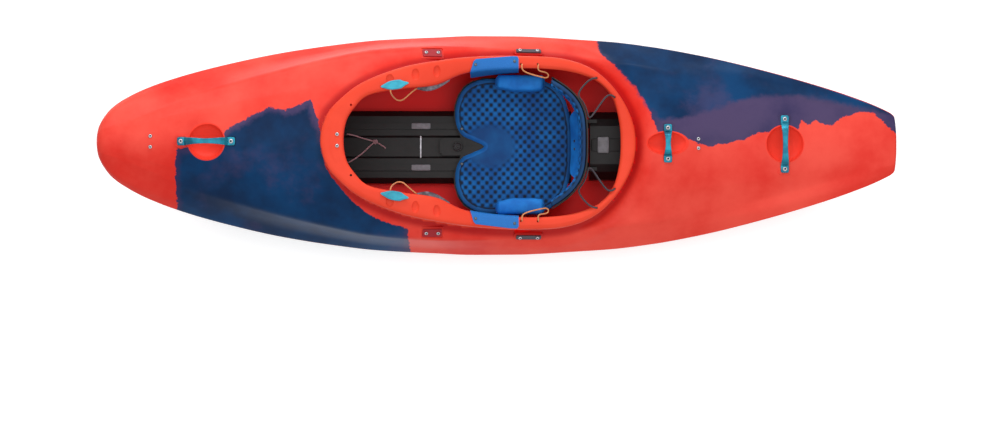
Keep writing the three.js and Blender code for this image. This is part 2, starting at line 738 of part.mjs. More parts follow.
// Depth of the flange's inner edge, which folds down only where the rim leaves room for it
function foldDepth(width) {
  const room = width - wallReach(width) - COAMING_WALL - FLANGE_THICKNESS - FLANGE_STEP;
  const shallow = FLANGE_THICKNESS + FLANGE_STEP / 2;
  return shallow + (FLANGE_FOLD - shallow) * Math.min(1, room / FLANGE_THICKNESS);
}

function coamingSection(t) {
  const { lip, inward, width } = coamingPlace(t);
  const at = (inset, z) => new THREE.Vector3(lip.x + inward.x * inset, lip.y + inward.y * inset, z);
  const wallFoot = (inset) => {
    const p = at(inset, 0);
    return at(inset, hullHeight(p.x, p.y, true) - WALL_SINK);
  };
  const top = lip.z;
  const wallOut = wallReach(width);
  const wallIn = wallOut + COAMING_WALL;
  const fold = foldDepth(width);
  return [
    at(0, top - lipRoundShares.foot * LIP_ROUND),
    at(lipRoundShares.side * LIP_ROUND, top - lipRoundShares.shoulder * LIP_ROUND),
    at(lipRoundShares.top * LIP_ROUND, top),
    at(width - lipRoundShares.inner * LIP_ROUND, top),
    at(width, top - lipRoundShares.innerDrop * LIP_ROUND),
    at(width, top - fold),
    at(width - flangeTaperShare * FLANGE_THICKNESS, top - fold),
    at(width - FLANGE_THICKNESS, top - FLANGE_THICKNESS),
    at(wallIn, top - FLANGE_THICKNESS),
    wallFoot(wallIn),
    wallFoot(wallOut),
    at(wallOut, top - LIP_DEPTH),
    at(lipRoundShares.under * LIP_ROUND, top - LIP_DEPTH),
    at(0, top - LIP_DEPTH + lipRoundShares.underRise * LIP_ROUND),
  ];
}

function coamingRing() {
  const rings = [];
  for (let i = 0; i < coamingSteps; i += 1) rings.push(coamingSection(i / coamingSteps));
  return toSolid(closedLoft(rings));
}

const plugFloorShare = 0.42;

// What the opening takes out of the deck, up to the middle of the coaming's wall.
// Its corners stand half a step away from the coaming's own.
function plugSolid() {
  const rim = (z) => {
    const ring = [];
    for (let i = 0; i < coamingSteps; i += 1) {
      const { lip, inward, width } = coamingPlace((i + 0.5) / coamingSteps);
      const inset = wallReach(width) + PLUG_INSET;
      ring.push(new THREE.Vector3(lip.x + inward.x * inset, lip.y + inward.y * inset, z));
    }
    return ring;
  };
  return toSolid(loft([rim(plugFloorShare * HULL_HEIGHT), rim(HULL_HEIGHT + CUT_OVERRUN)]));
}

// Handles

const handles = [
  { name: 'bow', x: bowHandleX, spacing: BOW_HANDLE_SPACING, arch: BOW_HANDLE_ARCH, across: false },
  { name: 'mid', x: midHandleX, spacing: MID_HANDLE_SPACING, arch: MID_HANDLE_ARCH, across: true },
  {
    name: 'stern', x: sternHandleX, spacing: STERN_HANDLE_SPACING, arch: STERN_HANDLE_ARCH, across: true,
  },
];

// The plane that both ends of a handle seat on
function handleFrame({ x, spacing, across }) {
  const half = spacing / 2;
  const a = across ? [x, -half] : [x - half, 0];
  const b = across ? [x, half] : [x + half, 0];
  const from = new THREE.Vector3(a[0], a[1], hullHeight(a[0], a[1], true));
  const to = new THREE.Vector3(b[0], b[1], hullHeight(b[0], b[1], true));
  const middle = from.clone().add(to).multiplyScalar(0.5);
  middle.z += HANDLE_SEAT_LIFT;
  return frameAt(middle, to.clone().sub(from), new THREE.Vector3(0, 0, 1));
}

const archSteps = 10;
const endTaperShare = 0.2;

// A flat bar that narrows to its waist and arches between two level ends
function handleSolid(handle) {
  const half = handle.spacing / 2 + HANDLE_END_LENGTH / 2;
  const free = handle.spacing / 2 - HANDLE_END_LENGTH / 2;
  const ends = [half, half - endTaperShare * HANDLE_END_LENGTH];
  const spans = [];
  for (let i = 0; i <= archSteps; i += 1) spans.push(-free + (2 * free * i) / archSteps);
  const stops = [...ends.map((x) => -x), ...spans, ...ends.slice().reverse()];
  return toSolid(loft(stops.map((x) => {
    const t = Math.max(0, 1 - Math.abs(x) / free);
    const rise = handle.arch * (1 - (1 - Math.min(1, 2 * t)) ** 2);
    const width = HANDLE_END_WIDTH - (HANDLE_END_WIDTH - HANDLE_WAIST_WIDTH) * Math.sin(t * Math.PI / 2);
    const taper = Math.abs(x) === half ? 1 - endTaperShare : 1;
    return roundedBar(x, width * taper, HANDLE_THICKNESS, rise);
  })));
}

// A flat section with its edges taken off, standing square to X
function roundedBar(x, width, thickness, z) {
  const w = width / 2;
  const edge = barEdgeShare * thickness;
  return [
    [-w, z + edge], [-w, z + thickness - edge], [edge - w, z + thickness], [w - edge, z + thickness],
    [w, z + thickness - edge], [w, z + edge], [w - edge, z], [edge - w, z],
  ].map(([y, height]) => new THREE.Vector3(x, y, height));
}

// Fasteners

const boltSides = 8;

// A round-headed bolt whose head seats on the plane z = 0
function boltGeometry(headRadius, headHeight, shankRadius, length) {
  const profile = [
    [0, -length], [shankRadius, -length], [shankRadius, 0], [headRadius, 0],
    [headRadius, boltHeadShares.brim * headHeight], [boltHeadShares.crown * headRadius, headHeight],
    [0, headHeight],
  ];
  const lathe = new THREE.LatheGeometry(profile.map(([x, y]) => new THREE.Vector2(x, y)), boltSides);
  lathe.rotateX(Math.PI / 2);
  return lathe;
}

const bigBolt = () => boltGeometry(BOLT_HEAD_RADIUS, BOLT_HEAD_HEIGHT, BOLT_SHANK_RADIUS, BOLT_LENGTH);
const smallBolt = () => boltGeometry(
  SMALL_HEAD_RADIUS, SMALL_HEAD_HEIGHT, SMALL_SHANK_RADIUS, SMALL_BOLT_LENGTH,
);

// The hull is cut for every bolt, and has a boss and a recess where a piece seats on it.
// A boss or a recess is a function that gives its solid, grown by a clearance.
const hullHoles = [];
const hullBosses = [];
const hullRecesses = [];

// A level seat on the hull: a recess over the frame, sunk in the top of a block with a low rim
function addSeat(frame, length, width, depth, recess) {
  hullBosses.push((grow) => blockUnder(
    shifted(frame, 0, 0, BOSS_RIM_HEIGHT + grow),
    length + 2 * (BOSS_RIM_WIDTH + grow),
    width + 2 * (BOSS_RIM_WIDTH + grow),
    depth + 2 * grow,
  ));
  hullRecesses.push(() => blockUnder(shifted(frame, 0, 0, recess), length, width, recess));
}

function addBolt(name, frame, big, lift) {
  const geometry = big ? bigBolt() : smallBolt();
  geometry.applyMatrix4(shifted(frame, 0, 0, lift + FIT_GAP));
  place(name, geometry, metal(colours.steel));
  const length = big ? BOLT_LENGTH : SMALL_BOLT_LENGTH;
  const radius = big ? BOLT_SHANK_RADIUS : SMALL_SHANK_RADIUS;
  const [low, high] = [lift - length - FIT_GAP, lift + CUT_OVERRUN / 2];
  hullHoles.push({ frame, radius: radius + FIT_GAP, low, high });
}

function drilled(solid, frames, radius) {
  return frames.reduce(
    (cut, frame) => cut.subtract(barSolid(frame, radius, -CUT_OVERRUN, CUT_OVERRUN)), solid,
  );
}

function buildHandles() {
  for (const handle of handles) {
    const frame = handleFrame(handle);
    const ends = [-1, 1].map((side) => shifted(frame, (side * handle.spacing) / 2, 0, 0));
    for (const end of ends) {
      addSeat(
        end,
        HANDLE_END_LENGTH + 2 * HANDLE_PAD_MARGIN,
        HANDLE_END_WIDTH + 2 * HANDLE_PAD_MARGIN,
        HANDLE_PAD_DEPTH,
        HANDLE_RECESS,
      );
    }
    const seat = shifted(frame, 0, 0, FIT_GAP);
    const bar = toSolid(toGeometry(handleSolid(handle)).applyMatrix4(seat));
    const cut = drilled(bar, ends, BOLT_SHANK_RADIUS + FIT_GAP);
    place(`${handle.name}_handle`, toGeometry(cut), metal(colours.turquoise));
    const labels = handle.across ? ['port', 'starboard'] : ['front', 'rear'];
    ends.forEach((end, i) => {
      addBolt(`${handle.name}_handle_bolt_${labels[i]}`, end, true, FIT_GAP + HANDLE_THICKNESS);
    });
  }
}

const dishSides = 20;
const hiddenDishSides = 12;

// A dish is a squashed ball sunk in the deck, with fewer faces on its hidden side
function dishSolid(x, halfLength, halfWidth, depth, grow) {
  const count = grow === 0 ? dishSides : hiddenDishSides;
  const ball = new THREE.SphereGeometry(1, count, count / 2);
  ball.rotateX(Math.PI / 2);
  ball.scale(halfLength + grow, halfWidth + grow, depth + grow);
  ball.translate(x, 0, hullHeight(x, 0, true));
  return toSolid(ball);
}

function dishes(grow) {
  return [
    dishSolid(bowHandleX, BOW_DISH_RADIUS, BOW_DISH_RADIUS, BOW_DISH_DEPTH, grow),
    dishSolid(midHandleX, MID_DISH_LENGTH / 2, MID_DISH_WIDTH / 2, MID_DISH_DEPTH, grow),
    dishSolid(sternHandleX, STERN_DISH_RADIUS, STERN_DISH_RADIUS, STERN_DISH_DEPTH, grow),
  ];
}

// Plates and bars that are bolted to the deck beside the coaming

function plateSolid(frame, length, width, thickness) {
  const corner = plateCornerShare * width;
  const shape = new THREE.Shape();
  const x = length / 2;
  const y = width / 2;
  shape.moveTo(-x + corner, -y);
  shape.lineTo(x - corner, -y);
  shape.lineTo(x, -y + corner);
  shape.lineTo(x, y - corner);
  shape.lineTo(x - corner, y);
  shape.lineTo(-x + corner, y);
  shape.lineTo(-x, y - corner);
  shape.lineTo(-x, -y + corner);
  shape.closePath();
  const plate = new THREE.ExtrudeGeometry(shape, { depth: thickness, bevelEnabled: false });
  return toSolid(plate.applyMatrix4(frame));
}

function buildDeckPlate(name, x, y, length, width, thickness, spacing, sink, material) {
  for (const [label, side] of sides) {
    const frame = shifted(deckFrame(x, side * y), 0, 0, -sink);
    addSeat(
      frame, length + 2 * PLATE_PAD_MARGIN, width + 2 * PLATE_PAD_MARGIN, PLATE_PAD_DEPTH, PLATE_RECESS,
    );
    const bolts = [-1, 1].map((end) => shifted(frame, (end * spacing) / 2, 0, 0));
    const plate = plateSolid(shifted(frame, 0, 0, FIT_GAP), length, width, thickness);
    const cut = drilled(plate, bolts, SMALL_SHANK_RADIUS + FIT_GAP);
    place(`${name}_${label}`, toGeometry(cut), material);
    bolts.forEach((bolt, i) => {
      addBolt(`${name}_bolt_${label}_${i + 1}`, bolt, false, FIT_GAP + thickness);
    });
  }
}

// Bolts that stand in the moulding by themselves

function buildCoamingBolts() {
  for (const [label, side] of sides) {
    const y = (side * COAMING_BOLT_SPACING) / 2;
    const point = new THREE.Vector3(coamingBoltX, y, HULL_HEIGHT);
    const frame = frameAt(point, new THREE.Vector3(1, 0, 0), new THREE.Vector3(0, 0, 1));
    addBolt(`coaming_bolt_${label}`, frame, false, 0);
  }
}

const pillarScrews = [];

function buildPillarScrews() {
  const rows = [['bow', bowScrewX, BOW_SCREW_SPACING], ['stern', sternScrewX, STERN_SCREW_SPACING]];
  for (const [end, x, spacing] of rows) {
    for (const [label, side] of sides) {
      const frame = shifted(deckFrame(x, (side * spacing) / 2), 0, 0, FIT_GAP);
      addBolt(`${end}_pillar_screw_${label}`, frame, false, 0);
      pillarScrews.push(frame);
    }
  }
}

// Footrest

// The side of a half section that reaches a height, and the half breadth there
function sideAt(half, z) {
  let i = 0;
  while (i < half.length - 2 && half[i + 1].y < z) i += 1;
  const t = (z - half[i].y) / (half[i + 1].y - half[i].y);
  return { i, y: half[i].x + t * (half[i + 1].x - half[i].x) };
}

// A frame on the outside of the hull's side at a height, its Z axis pointing out
function sideFrame(x, z, side) {
  const half = halfSection(shareAt(x));
  const { i, y } = sideAt(half, z);
  const slope = new THREE.Vector3(0, half[i + 1].x - half[i].x, half[i + 1].y - half[i].y).normalize();
  const ahead = halfSection(shareAt(x + slopeProbe));
  const spread = (ahead[i].x - half[i].x) / slopeProbe;
  const along = new THREE.Vector3(1, spread, 0).normalize();
  const out = new THREE.Vector3().crossVectors(slope, along);
  if (out.y < 0) out.negate();
  const frame = frameAt(new THREE.Vector3(x, y, z), along, out);
  return side > 0 ? frame : mirrorY(frame);
}

const railMin = RAIL_BOLT_MIDDLE_X - RAIL_LENGTH / 2;
const railY = sideAt(halfSection(shareAt(railMin)), RAIL_BOLT_Z).y
  - HULL_WALL - RAIL_THICKNESS - RAIL_CLEARANCE;

// A box at the rail's height between two distances from the middle of the boat
function flankBox(side, start, end, near, far, margin) {
  const half = RAIL_HEIGHT / 2 + margin;
  return boxSolid(
    new THREE.Vector3(start, Math.min(side * near, side * far), RAIL_BOLT_Z - half),
    new THREE.Vector3(end, Math.max(side * near, side * far), RAIL_BOLT_Z + half),
  );
}

// A straight rail on two posts, each bolted through the hull's side in a recess of its own
function buildRail(label, side) {
  let rail = flankBox(side, railMin, railMin + RAIL_LENGTH, railY, railY + RAIL_THICKNESS, 0);
  const radius = SMALL_HEAD_RADIUS + PLATE_PAD_MARGIN;
  [-1, 1].forEach((end, i) => {
    const seat = sideFrame(RAIL_BOLT_MIDDLE_X + (end * RAIL_BOLT_SPACING) / 2, RAIL_BOLT_Z, side);
    const outside = new THREE.Vector3().setFromMatrixPosition(seat);
    outside.y -= side * RAIL_BOLT_SINK;
    const square = frameAt(outside, new THREE.Vector3(1, 0, 0), new THREE.Vector3(0, side, 0));
    hullBosses.push((grow) => barSolid(
      square, radius + BOSS_RIM_WIDTH + grow, -2 * HULL_WALL - grow, BOSS_RIM_HEIGHT + grow,
    ));
    hullRecesses.push(() => barSolid(square, radius, 0, PLATE_RECESS));
    const post = barSolid(square, RAIL_STANDOFF_RADIUS, railY - Math.abs(outside.y) + FIT_GAP, 0);
    addBolt(`rail_bolt_${label}_${i + 1}`, square, false, 0);
    rail = rail.add(post).subtract(barSolid(
      square, SMALL_SHANK_RADIUS + FIT_GAP, -SMALL_BOLT_LENGTH - FIT_GAP, CUT_OVERRUN,
    ));
  });
  place(`footrest_rail_${label}`, toGeometry(rail.intersect(insideHull())), plastic(colours.black));
}

function buildFootrest() {
  const slots = [];
  for (const [label, side] of sides) {
    buildRail(label, side);
    const [start, end] = [railMin - RAIL_LENGTH, railMin + RAIL_LENGTH];
    slots.push(flankBox(side, start, end, railY - FOOTREST_SLOT_GAP, HALF_BEAM, FOOTREST_SLOT_GAP));
  }
  buildFootrestPlate(slots);
}

// The plate follows the section of the hull where it is narrowest along its travel
function buildFootrestPlate(slots) {
  const section = insetSection(
    wholeSection(shareAt(FOOTREST_X - FOOTREST_TRAVEL)), HULL_WALL + FOOTREST_MARGIN,
  );
  const ring = (x) => section.map((p) => new THREE.Vector3(x, p.x, Math.min(p.y, FOOTREST_TOP_Z)));
  const slab = loft([ring(FOOTREST_X - FOOTREST_THICKNESS), ring(FOOTREST_X)]);
  const plate = slots.reduce((solid, slot) => solid.subtract(slot), toSolid(slab));
  place('footrest_plate', toGeometry(plate), plastic(colours.black));
  place('footrest_pad', crownedPad(
    FOOTREST_X + FIT_GAP, FOOT_PAD_THICKNESS, FOOT_PAD_HALF_WIDTH, FOOT_PAD_BOTTOM_Z, FOOT_PAD_TOP_Z,
  ), foam(colours.foam));
}

const padSteps = 8;

// A foam slab with a flat back and a crowned front whose edges draw in
function crownedPad(x, thickness, halfWidth, bottom, top) {
  const rings = [];
  for (let i = 0; i <= padSteps; i += 1) {
    const y = -halfWidth + (2 * halfWidth * i) / padSteps;
    const swell = FOOT_PAD_CROWN * (1 - (y / halfWidth) ** 2);
    const draw = FOOT_PAD_CROWN * (y / halfWidth) ** 4;
    const flat = thickness - FOOT_PAD_CROWN;
    const shoulder = footPadShoulderShare * (top - bottom);
    rings.push([
      [x, bottom + draw], [x + flat, bottom + draw], [x + flat + swell, bottom + shoulder],
      [x + flat + swell, top - shoulder], [x + flat, top - draw], [x, top - draw],
    ].map(([px, z]) => new THREE.Vector3(px, y, z)));
  }
  return loft(rings);
}

// The space inside the shell, less the fitting gap
function insideHull() {
  const inset = HULL_WALL + FIT_GAP;
  const solids = [...dishes(inset), ...hullBosses.map((boss) => boss(FIT_GAP))];
  return solids.reduce((space, solid) => space.subtract(solid), hullForm(inset));
}

const bowPillarEnd = FOOTREST_X - FOOTREST_TRAVEL - FOOTREST_THICKNESS - PILLAR_CLEARANCE;

function buildPillars() {
  const rows = [
    ['bow_pillar', stationX(stationPlaceShares.bowPillarStart), bowPillarEnd],
    ['stern_pillar', TAIL_END_X + FIT_GAP, stationX(stationPlaceShares.sternPillarEnd)],
  ];
  for (const [name, start, end] of rows) {
    const block = boxSolid(
      new THREE.Vector3(start, -PILLAR_HALF_WIDTH, 0),
      new THREE.Vector3(end, PILLAR_HALF_WIDTH, HULL_HEIGHT),
    );
    let pillar = block.intersect(insideHull());
    for (const screw of pillarScrews) {
      const hole = SMALL_SHANK_RADIUS + FIT_GAP;
      pillar = pillar.subtract(barSolid(screw, hole, -SMALL_BOLT_LENGTH - FIT_GAP, CUT_OVERRUN));
    }
    place(name, toGeometry(pillar), foam(colours.foam));
  }
}

// Outfitting

// An extruded console with two runners for the seat, its underside shaped by the hull's floor
function buildConsole() {
  const w = CONSOLE_HALF_WIDTH;
  const top = CONSOLE_TOP_Z;
  const half = [
    [CONSOLE_GROOVE_HALF_WIDTH - CONSOLE_GROOVE_DEPTH, top - CONSOLE_GROOVE_DEPTH],
    [CONSOLE_GROOVE_HALF_WIDTH, top],
    [RUNNER_Y - RUNNER_HALF_WIDTH, top], [RUNNER_Y - RUNNER_HALF_WIDTH, top + RUNNER_HEIGHT],
    [RUNNER_Y + RUNNER_HALF_WIDTH, top + RUNNER_HEIGHT], [RUNNER_Y + RUNNER_HALF_WIDTH, top],
    [w - CONSOLE_SHOULDER, top], [w, top - CONSOLE_SHOULDER_DROP], [w, -CUT_OVERRUN],
  ];
  const outline = [...half, ...half.slice().reverse().map(([y, z]) => [-y, z])];
  let console = crossExtrusion(outline, CONSOLE_START_X, CONSOLE_END_X).intersect(insideHull());
  for (const [x, y] of [frontCordRoute[0], frontCordEndRoute[0]]) {
    const frame = new THREE.Matrix4().makeTranslation(x, y, CONSOLE_TOP_Z);
    const radius = FRONT_CORD_DIAMETER / 2 + CORD_HOLE_GAP;
    console = console.subtract(barSolid(frame, radius, -FRONT_HOLE_DEPTH, CUT_OVERRUN));
  }
  place('floor_console', toGeometry(console), plastic(colours.black));
}

// Height of the top of the seat pan
function panTop(x, y) {
  const side = Math.min(1, Math.abs(y) / SEAT_HALF_WIDTH);
  const rear = Math.max(0, (x - SEAT_CENTRE_X) / SEAT_REAR_LENGTH);
  const front = Math.max(0, (SEAT_CENTRE_X - x) / SEAT_HALF_LENGTH);
  const base = CONSOLE_TOP_Z + RUNNER_HEIGHT + SEAT_PAN_LIFT;
  return base + SEAT_SIDE_RISE * side ** seatSidePower
    + SEAT_REAR_RISE * Math.min(rear, 1) ** seatRearPower
    + SEAT_FRONT_RISE * Math.min(front, 1) ** seatFrontPower * Math.min(1, 2 * side);
}

const panFloor = CONSOLE_TOP_Z + RUNNER_HEIGHT + SEAT_RUN_GAP;

function outlineCurve(shares) {
  return mirroredCurve(shares.map(([x, y]) => new THREE.Vector3(
    SEAT_CENTRE_X + x * (x < 0 ? SEAT_HALF_LENGTH : SEAT_REAR_LENGTH), y * SEAT_HALF_WIDTH, 0,
  )));
}

// A plate over a star-shaped outline, with its upper and lower faces given by height functions
function dishedPlate(curve, upper, lower, edge) {
  const points = [];
  const triangles = [];
  const rings = [...seatRingShares, 1];
  const layer = (height, squeeze) => {
    const start = points.length;
    points.push(new THREE.Vector3(SEAT_CENTRE_X, 0, height(SEAT_CENTRE_X, 0)));
    rings.forEach((share, r) => {
      for (let i = 0; i < seatSteps; i += 1) {
        const rim = curve.getPoint(i / seatSteps);
        const x = SEAT_CENTRE_X + share * (rim.x - SEAT_CENTRE_X);
        const y = share * rim.y;
        points.push(new THREE.Vector3(x, y, height(x, y) - (r === rings.length - 1 ? squeeze : 0)));
      }
    });
    return start;
  };
  const top = layer(upper, edge);
  const bottom = layer(lower, 0);
  const at = (start, ring, i) => start + 1 + ring * seatSteps + (i % seatSteps);
  for (let i = 0; i < seatSteps; i += 1) {
    triangles.push([top, at(top, 0, i), at(top, 0, i + 1)]);
    triangles.push([bottom, at(bottom, 0, i + 1), at(bottom, 0, i)]);
    for (let r = 0; r + 1 < rings.length; r += 1) {
      const quad = (start) => [[r, i], [r + 1, i], [r + 1, i + 1], [r, i + 1]]
        .map(([ring, place]) => at(start, ring, place));
      const [a, b, c, d] = quad(top);
      const [e, f, g, h] = quad(bottom);
      triangles.push([a, b, c], [a, c, d], [e, g, f], [e, h, g]);
    }
    const last = rings.length - 1;
    const [a, b] = [at(top, last, i), at(top, last, i + 1)];
    const [c, d] = [at(bottom, last, i), at(bottom, last, i + 1)];
    triangles.push([a, c, d], [a, d, b]);
  }
  return closedGeometry(points, triangles);
}

// The tongue of the pan that reaches forward between the runners and carries the knob
function seatTongue() {
  const [x, w, c] = [SEAT_TONGUE_START_X, SEAT_TONGUE_HALF_WIDTH, SEAT_TONGUE_CORNER];
  const end = SEAT_CENTRE_X - SEAT_HALF_LENGTH / 2;
  const outline = [[x, c - w], [x + c, -w], [end, -w], [end, w], [x + c, w], [x, w - c]];
  const shape = new THREE.Shape(outline.map(([px, py]) => new THREE.Vector2(px, py)));
  const depth = panTop(SEAT_CENTRE_X, 0) - panFloor;
  const plate = new THREE.ExtrudeGeometry(shape, { depth, bevelEnabled: false });
  return toSolid(plate.translate(0, 0, panFloor));
}

function buildSeat() {
  const seat = new THREE.Group();
  kayak.add(seat);
  const under = (x, y) => Math.max(panFloor, panTop(x, y) - SEAT_PAN_THICKNESS);
  let pan = toSolid(dishedPlate(outlineCurve(seatOutlineShares), panTop, under, 0));
  const knobFrame = new THREE.Matrix4().makeTranslation(KNOB_X, 0, panTop(KNOB_X, 0));
  const bore = KNOB_SHANK_RADIUS + FIT_GAP;
  pan = pan.add(seatTongue());
  pan = pan.add(barSolid(knobFrame, KNOB_RADIUS, -SEAT_PAN_THICKNESS / 2, KNOB_BOSS_HEIGHT, knobSides));
  pan = pan.subtract(barSolid(knobFrame, bore, -KNOB_SHANK_LENGTH, CUT_OVERRUN));
  place('seat_base', toGeometry(pan), plastic(colours.black), seat);
  const padBottom = (x, y) => panTop(x, y) + PAD_GAP;
  const padTop = (x, y) => panTop(x, y) + PAD_GAP + PAD_THICKNESS;
  const pad = dishedPlate(
    outlineCurve(padOutlineShares), padTop, padBottom, PAD_THICKNESS - PAD_EDGE_THICKNESS,
  );
  place('seat_pad', pad, foam(colours.blue), seat);
  buildKnob(seat);
}

const knobSides = 16;

// A knob with a waisted grip and a shank that enters the seat base
function buildKnob(seat) {
  const grip = knobProfileShares.map(([x, z]) => [x * KNOB_RADIUS, Math.max(FIT_GAP, z * KNOB_HEIGHT)]);
  const profile = [
    [0, -KNOB_SHANK_LENGTH + FIT_GAP], [KNOB_SHANK_RADIUS, -KNOB_SHANK_LENGTH + FIT_GAP],
    [KNOB_SHANK_RADIUS, FIT_GAP], ...grip,
  ];
  const knob = new THREE.LatheGeometry(profile.map(([x, y]) => new THREE.Vector2(x, y)), knobSides);
  knob.rotateX(Math.PI / 2);
  knob.translate(KNOB_X, 0, panTop(KNOB_X, 0) + KNOB_BOSS_HEIGHT);
  place('seat_knob', knob, plastic(colours.black), seat);
}

// The moulded tail behind the seat, with two ears that carry the backband's pins
function buildTail() {
  const t = TAIL_EDGE;
  const w = TAIL_HALF_WIDTH;
  const outline = [
    [w, -CUT_OVERRUN], [w, TAIL_TOP_Z - 2 * t], [w - t, TAIL_TOP_Z - t / 2], [w - 2 * t, TAIL_TOP_Z],
    [2 * t - w, TAIL_TOP_Z], [t - w, TAIL_TOP_Z - t / 2], [-w, TAIL_TOP_Z - 2 * t], [-w, -CUT_OVERRUN],
  ];
  let tail = crossExtrusion(outline, TAIL_START_X, TAIL_END_X);
  for (const side of [-1, 1]) {
    const y = side * TAIL_EAR_Y;
    tail = tail.add(boxSolid(
      new THREE.Vector3(BACKBAND_PIVOT_X, y - TAIL_EAR_THICKNESS / 2, BACKBAND_PIVOT_Z - TAIL_EAR_HEIGHT / 2),
      new THREE.Vector3(
        TAIL_START_X + CUT_OVERRUN, y + TAIL_EAR_THICKNESS / 2, BACKBAND_PIVOT_Z + TAIL_EAR_HEIGHT / 2,
      ),
    ));
    const knuckle = pivotBar(y, TAIL_EAR_THICKNESS, TAIL_EAR_HEIGHT / 2);
    tail = tail.add(knuckle);
    const gap = BACKBAND_PIN_RADIUS + FIT_GAP;
    tail = tail.subtract(pivotBar(y, 2 * TAIL_EAR_THICKNESS, gap));
  }
  place('seat_tail', toGeometry(tail.intersect(insideHull())), plastic(colours.black));
}

const pivotSides = 20;

// A round bar across the boat on the backband's pivot
function pivotBar(y, length, radius) {
  const point = new THREE.Vector3(BACKBAND_PIVOT_X, y, BACKBAND_PIVOT_Z);
  const frame = frameAt(point, new THREE.Vector3(1, 0, 0), new THREE.Vector3(0, 1, 0));
  return barSolid(frame, radius, -length / 2, length / 2, pivotSides);
}

// The backband's curve seen from above, by a share of its half width
function bandPoint(share) {
  return {
    x: BACKBAND_X - BACKBAND_SWEEP * Math.abs(share) ** bandSweepPower,
    y: share * BACKBAND_HALF_WIDTH,
    bottom: BACKBAND_BOTTOM_Z + BACKBAND_TIP_RISE * Math.abs(share) ** bandRisePower,
    top: BACKBAND_TOP_Z - BACKBAND_TIP_DROP * Math.abs(share) ** bandDropPower,
  };
}

const bandSteps = 28;

// A band between two distances in front of the curve, its edges rounded
function bandSolid(front, back, trim) {
  const rings = [];
  for (let i = 0; i <= bandSteps; i += 1) {
    const angle = -Math.PI / 2 + (Math.PI * i) / bandSteps;
    const share = Math.sin(angle) * (1 - trim / BACKBAND_HALF_WIDTH);
    const p = bandPoint(share);
    const ahead = bandPoint(Math.min(1, share + bandShares.probe));
    const behind = bandPoint(Math.max(-1, share - bandShares.probe));
    const out = new THREE.Vector2(-(ahead.y - behind.y), ahead.x - behind.x).normalize();
    const end = Math.min(1, (1 - Math.abs(Math.sin(angle))) * bandTipGrowth + bandShares.tip);
    const depth = back + (front - back) * end;
    const edge = bandShares.edge * (front - back);
    const low = bandShares.trim * trim;
    const at = (distance, z) => new THREE.Vector3(p.x + out.x * distance, p.y + out.y * distance, z);
    rings.push([
      at(back, p.bottom + trim), at(back, p.top - trim), at(back + edge * end, p.top - low),
      at(depth - edge * end, p.top - low), at(depth, p.top - trim - edge),
      at(depth, p.bottom + trim + edge), at(depth - edge * end, p.bottom + low),
      at(back + edge * end, p.bottom + low),
    ]);
  }
  return toSolid(loft(rings));
}

function buildBackband() {
  let shell = bandSolid(SHELL_THICKNESS, 0, 0);
  for (const side of [-1, 1]) {
    const inner = TAIL_EAR_Y - TAIL_EAR_THICKNESS / 2 - FIT_GAP - BACKBAND_EAR_RADIUS / 2;
    const y = side * inner;
    shell = shell.add(pivotBar(y, BACKBAND_EAR_RADIUS, BACKBAND_EAR_RADIUS * backbandEarShare));
    shell = shell.add(boxSolid(
      new THREE.Vector3(
        BACKBAND_PIVOT_X - SHELL_THICKNESS / 2, y - BACKBAND_EAR_RADIUS / 2, BACKBAND_PIVOT_Z,
      ),
      new THREE.Vector3(
        BACKBAND_PIVOT_X + SHELL_THICKNESS / 2, y + BACKBAND_EAR_RADIUS / 2, BACKBAND_BOTTOM_Z + CUT_OVERRUN,
      ),
    ));
    const pinEnd = TAIL_EAR_Y + TAIL_EAR_THICKNESS / 2;
    const middle = (side * (pinEnd + inner)) / 2;
    shell = shell.add(pivotBar(middle, pinEnd - inner, BACKBAND_PIN_RADIUS));
  }
  place('backband_shell', toGeometry(shell), plastic(colours.black));
  const pad = bandSolid(SHELL_THICKNESS + FIT_GAP + BAND_PAD_THICKNESS, SHELL_THICKNESS + FIT_GAP, 2);
  place('backband_pad', toGeometry(pad), foam(colours.blue));
}

// Hip pads and tabs

const hipSteps = 10;

function buildHipPads() {
  for (const [label, side] of sides) {
    const rings = [];
    for (let i = 0; i <= hipSteps; i += 1) {
      const share = i / hipSteps;
      const x = HIP_PAD_START_X + (HIP_PAD_END_X - HIP_PAD_START_X) * share;
      const end = (2 * share - 1) ** 4;
      const half = HIP_PAD_THICKNESS / 2;
      const inner = HIP_PAD_Y - half + HIP_PAD_CROWN * end;
      const outer = HIP_PAD_Y + half;
      const bottom = HIP_PAD_BOTTOM_Z + HIP_PAD_CROWN * end;
      const top = HIP_PAD_TOP_Z - HIP_PAD_CROWN * end;
      const c = HIP_PAD_CROWN;
      rings.push([
        [outer, bottom], [outer, top], [inner + c, top], [inner + hipPadBulgeShare * c, top - c],
        [inner, (top + bottom) / 2], [inner + hipPadBulgeShare * c, bottom + c], [inner + c, bottom],
      ].map(([y, z]) => new THREE.Vector3(x, side * y, z)));
    }
    place(`hip_pad_${label}`, loft(rings), foam(colours.blue));
  }
}

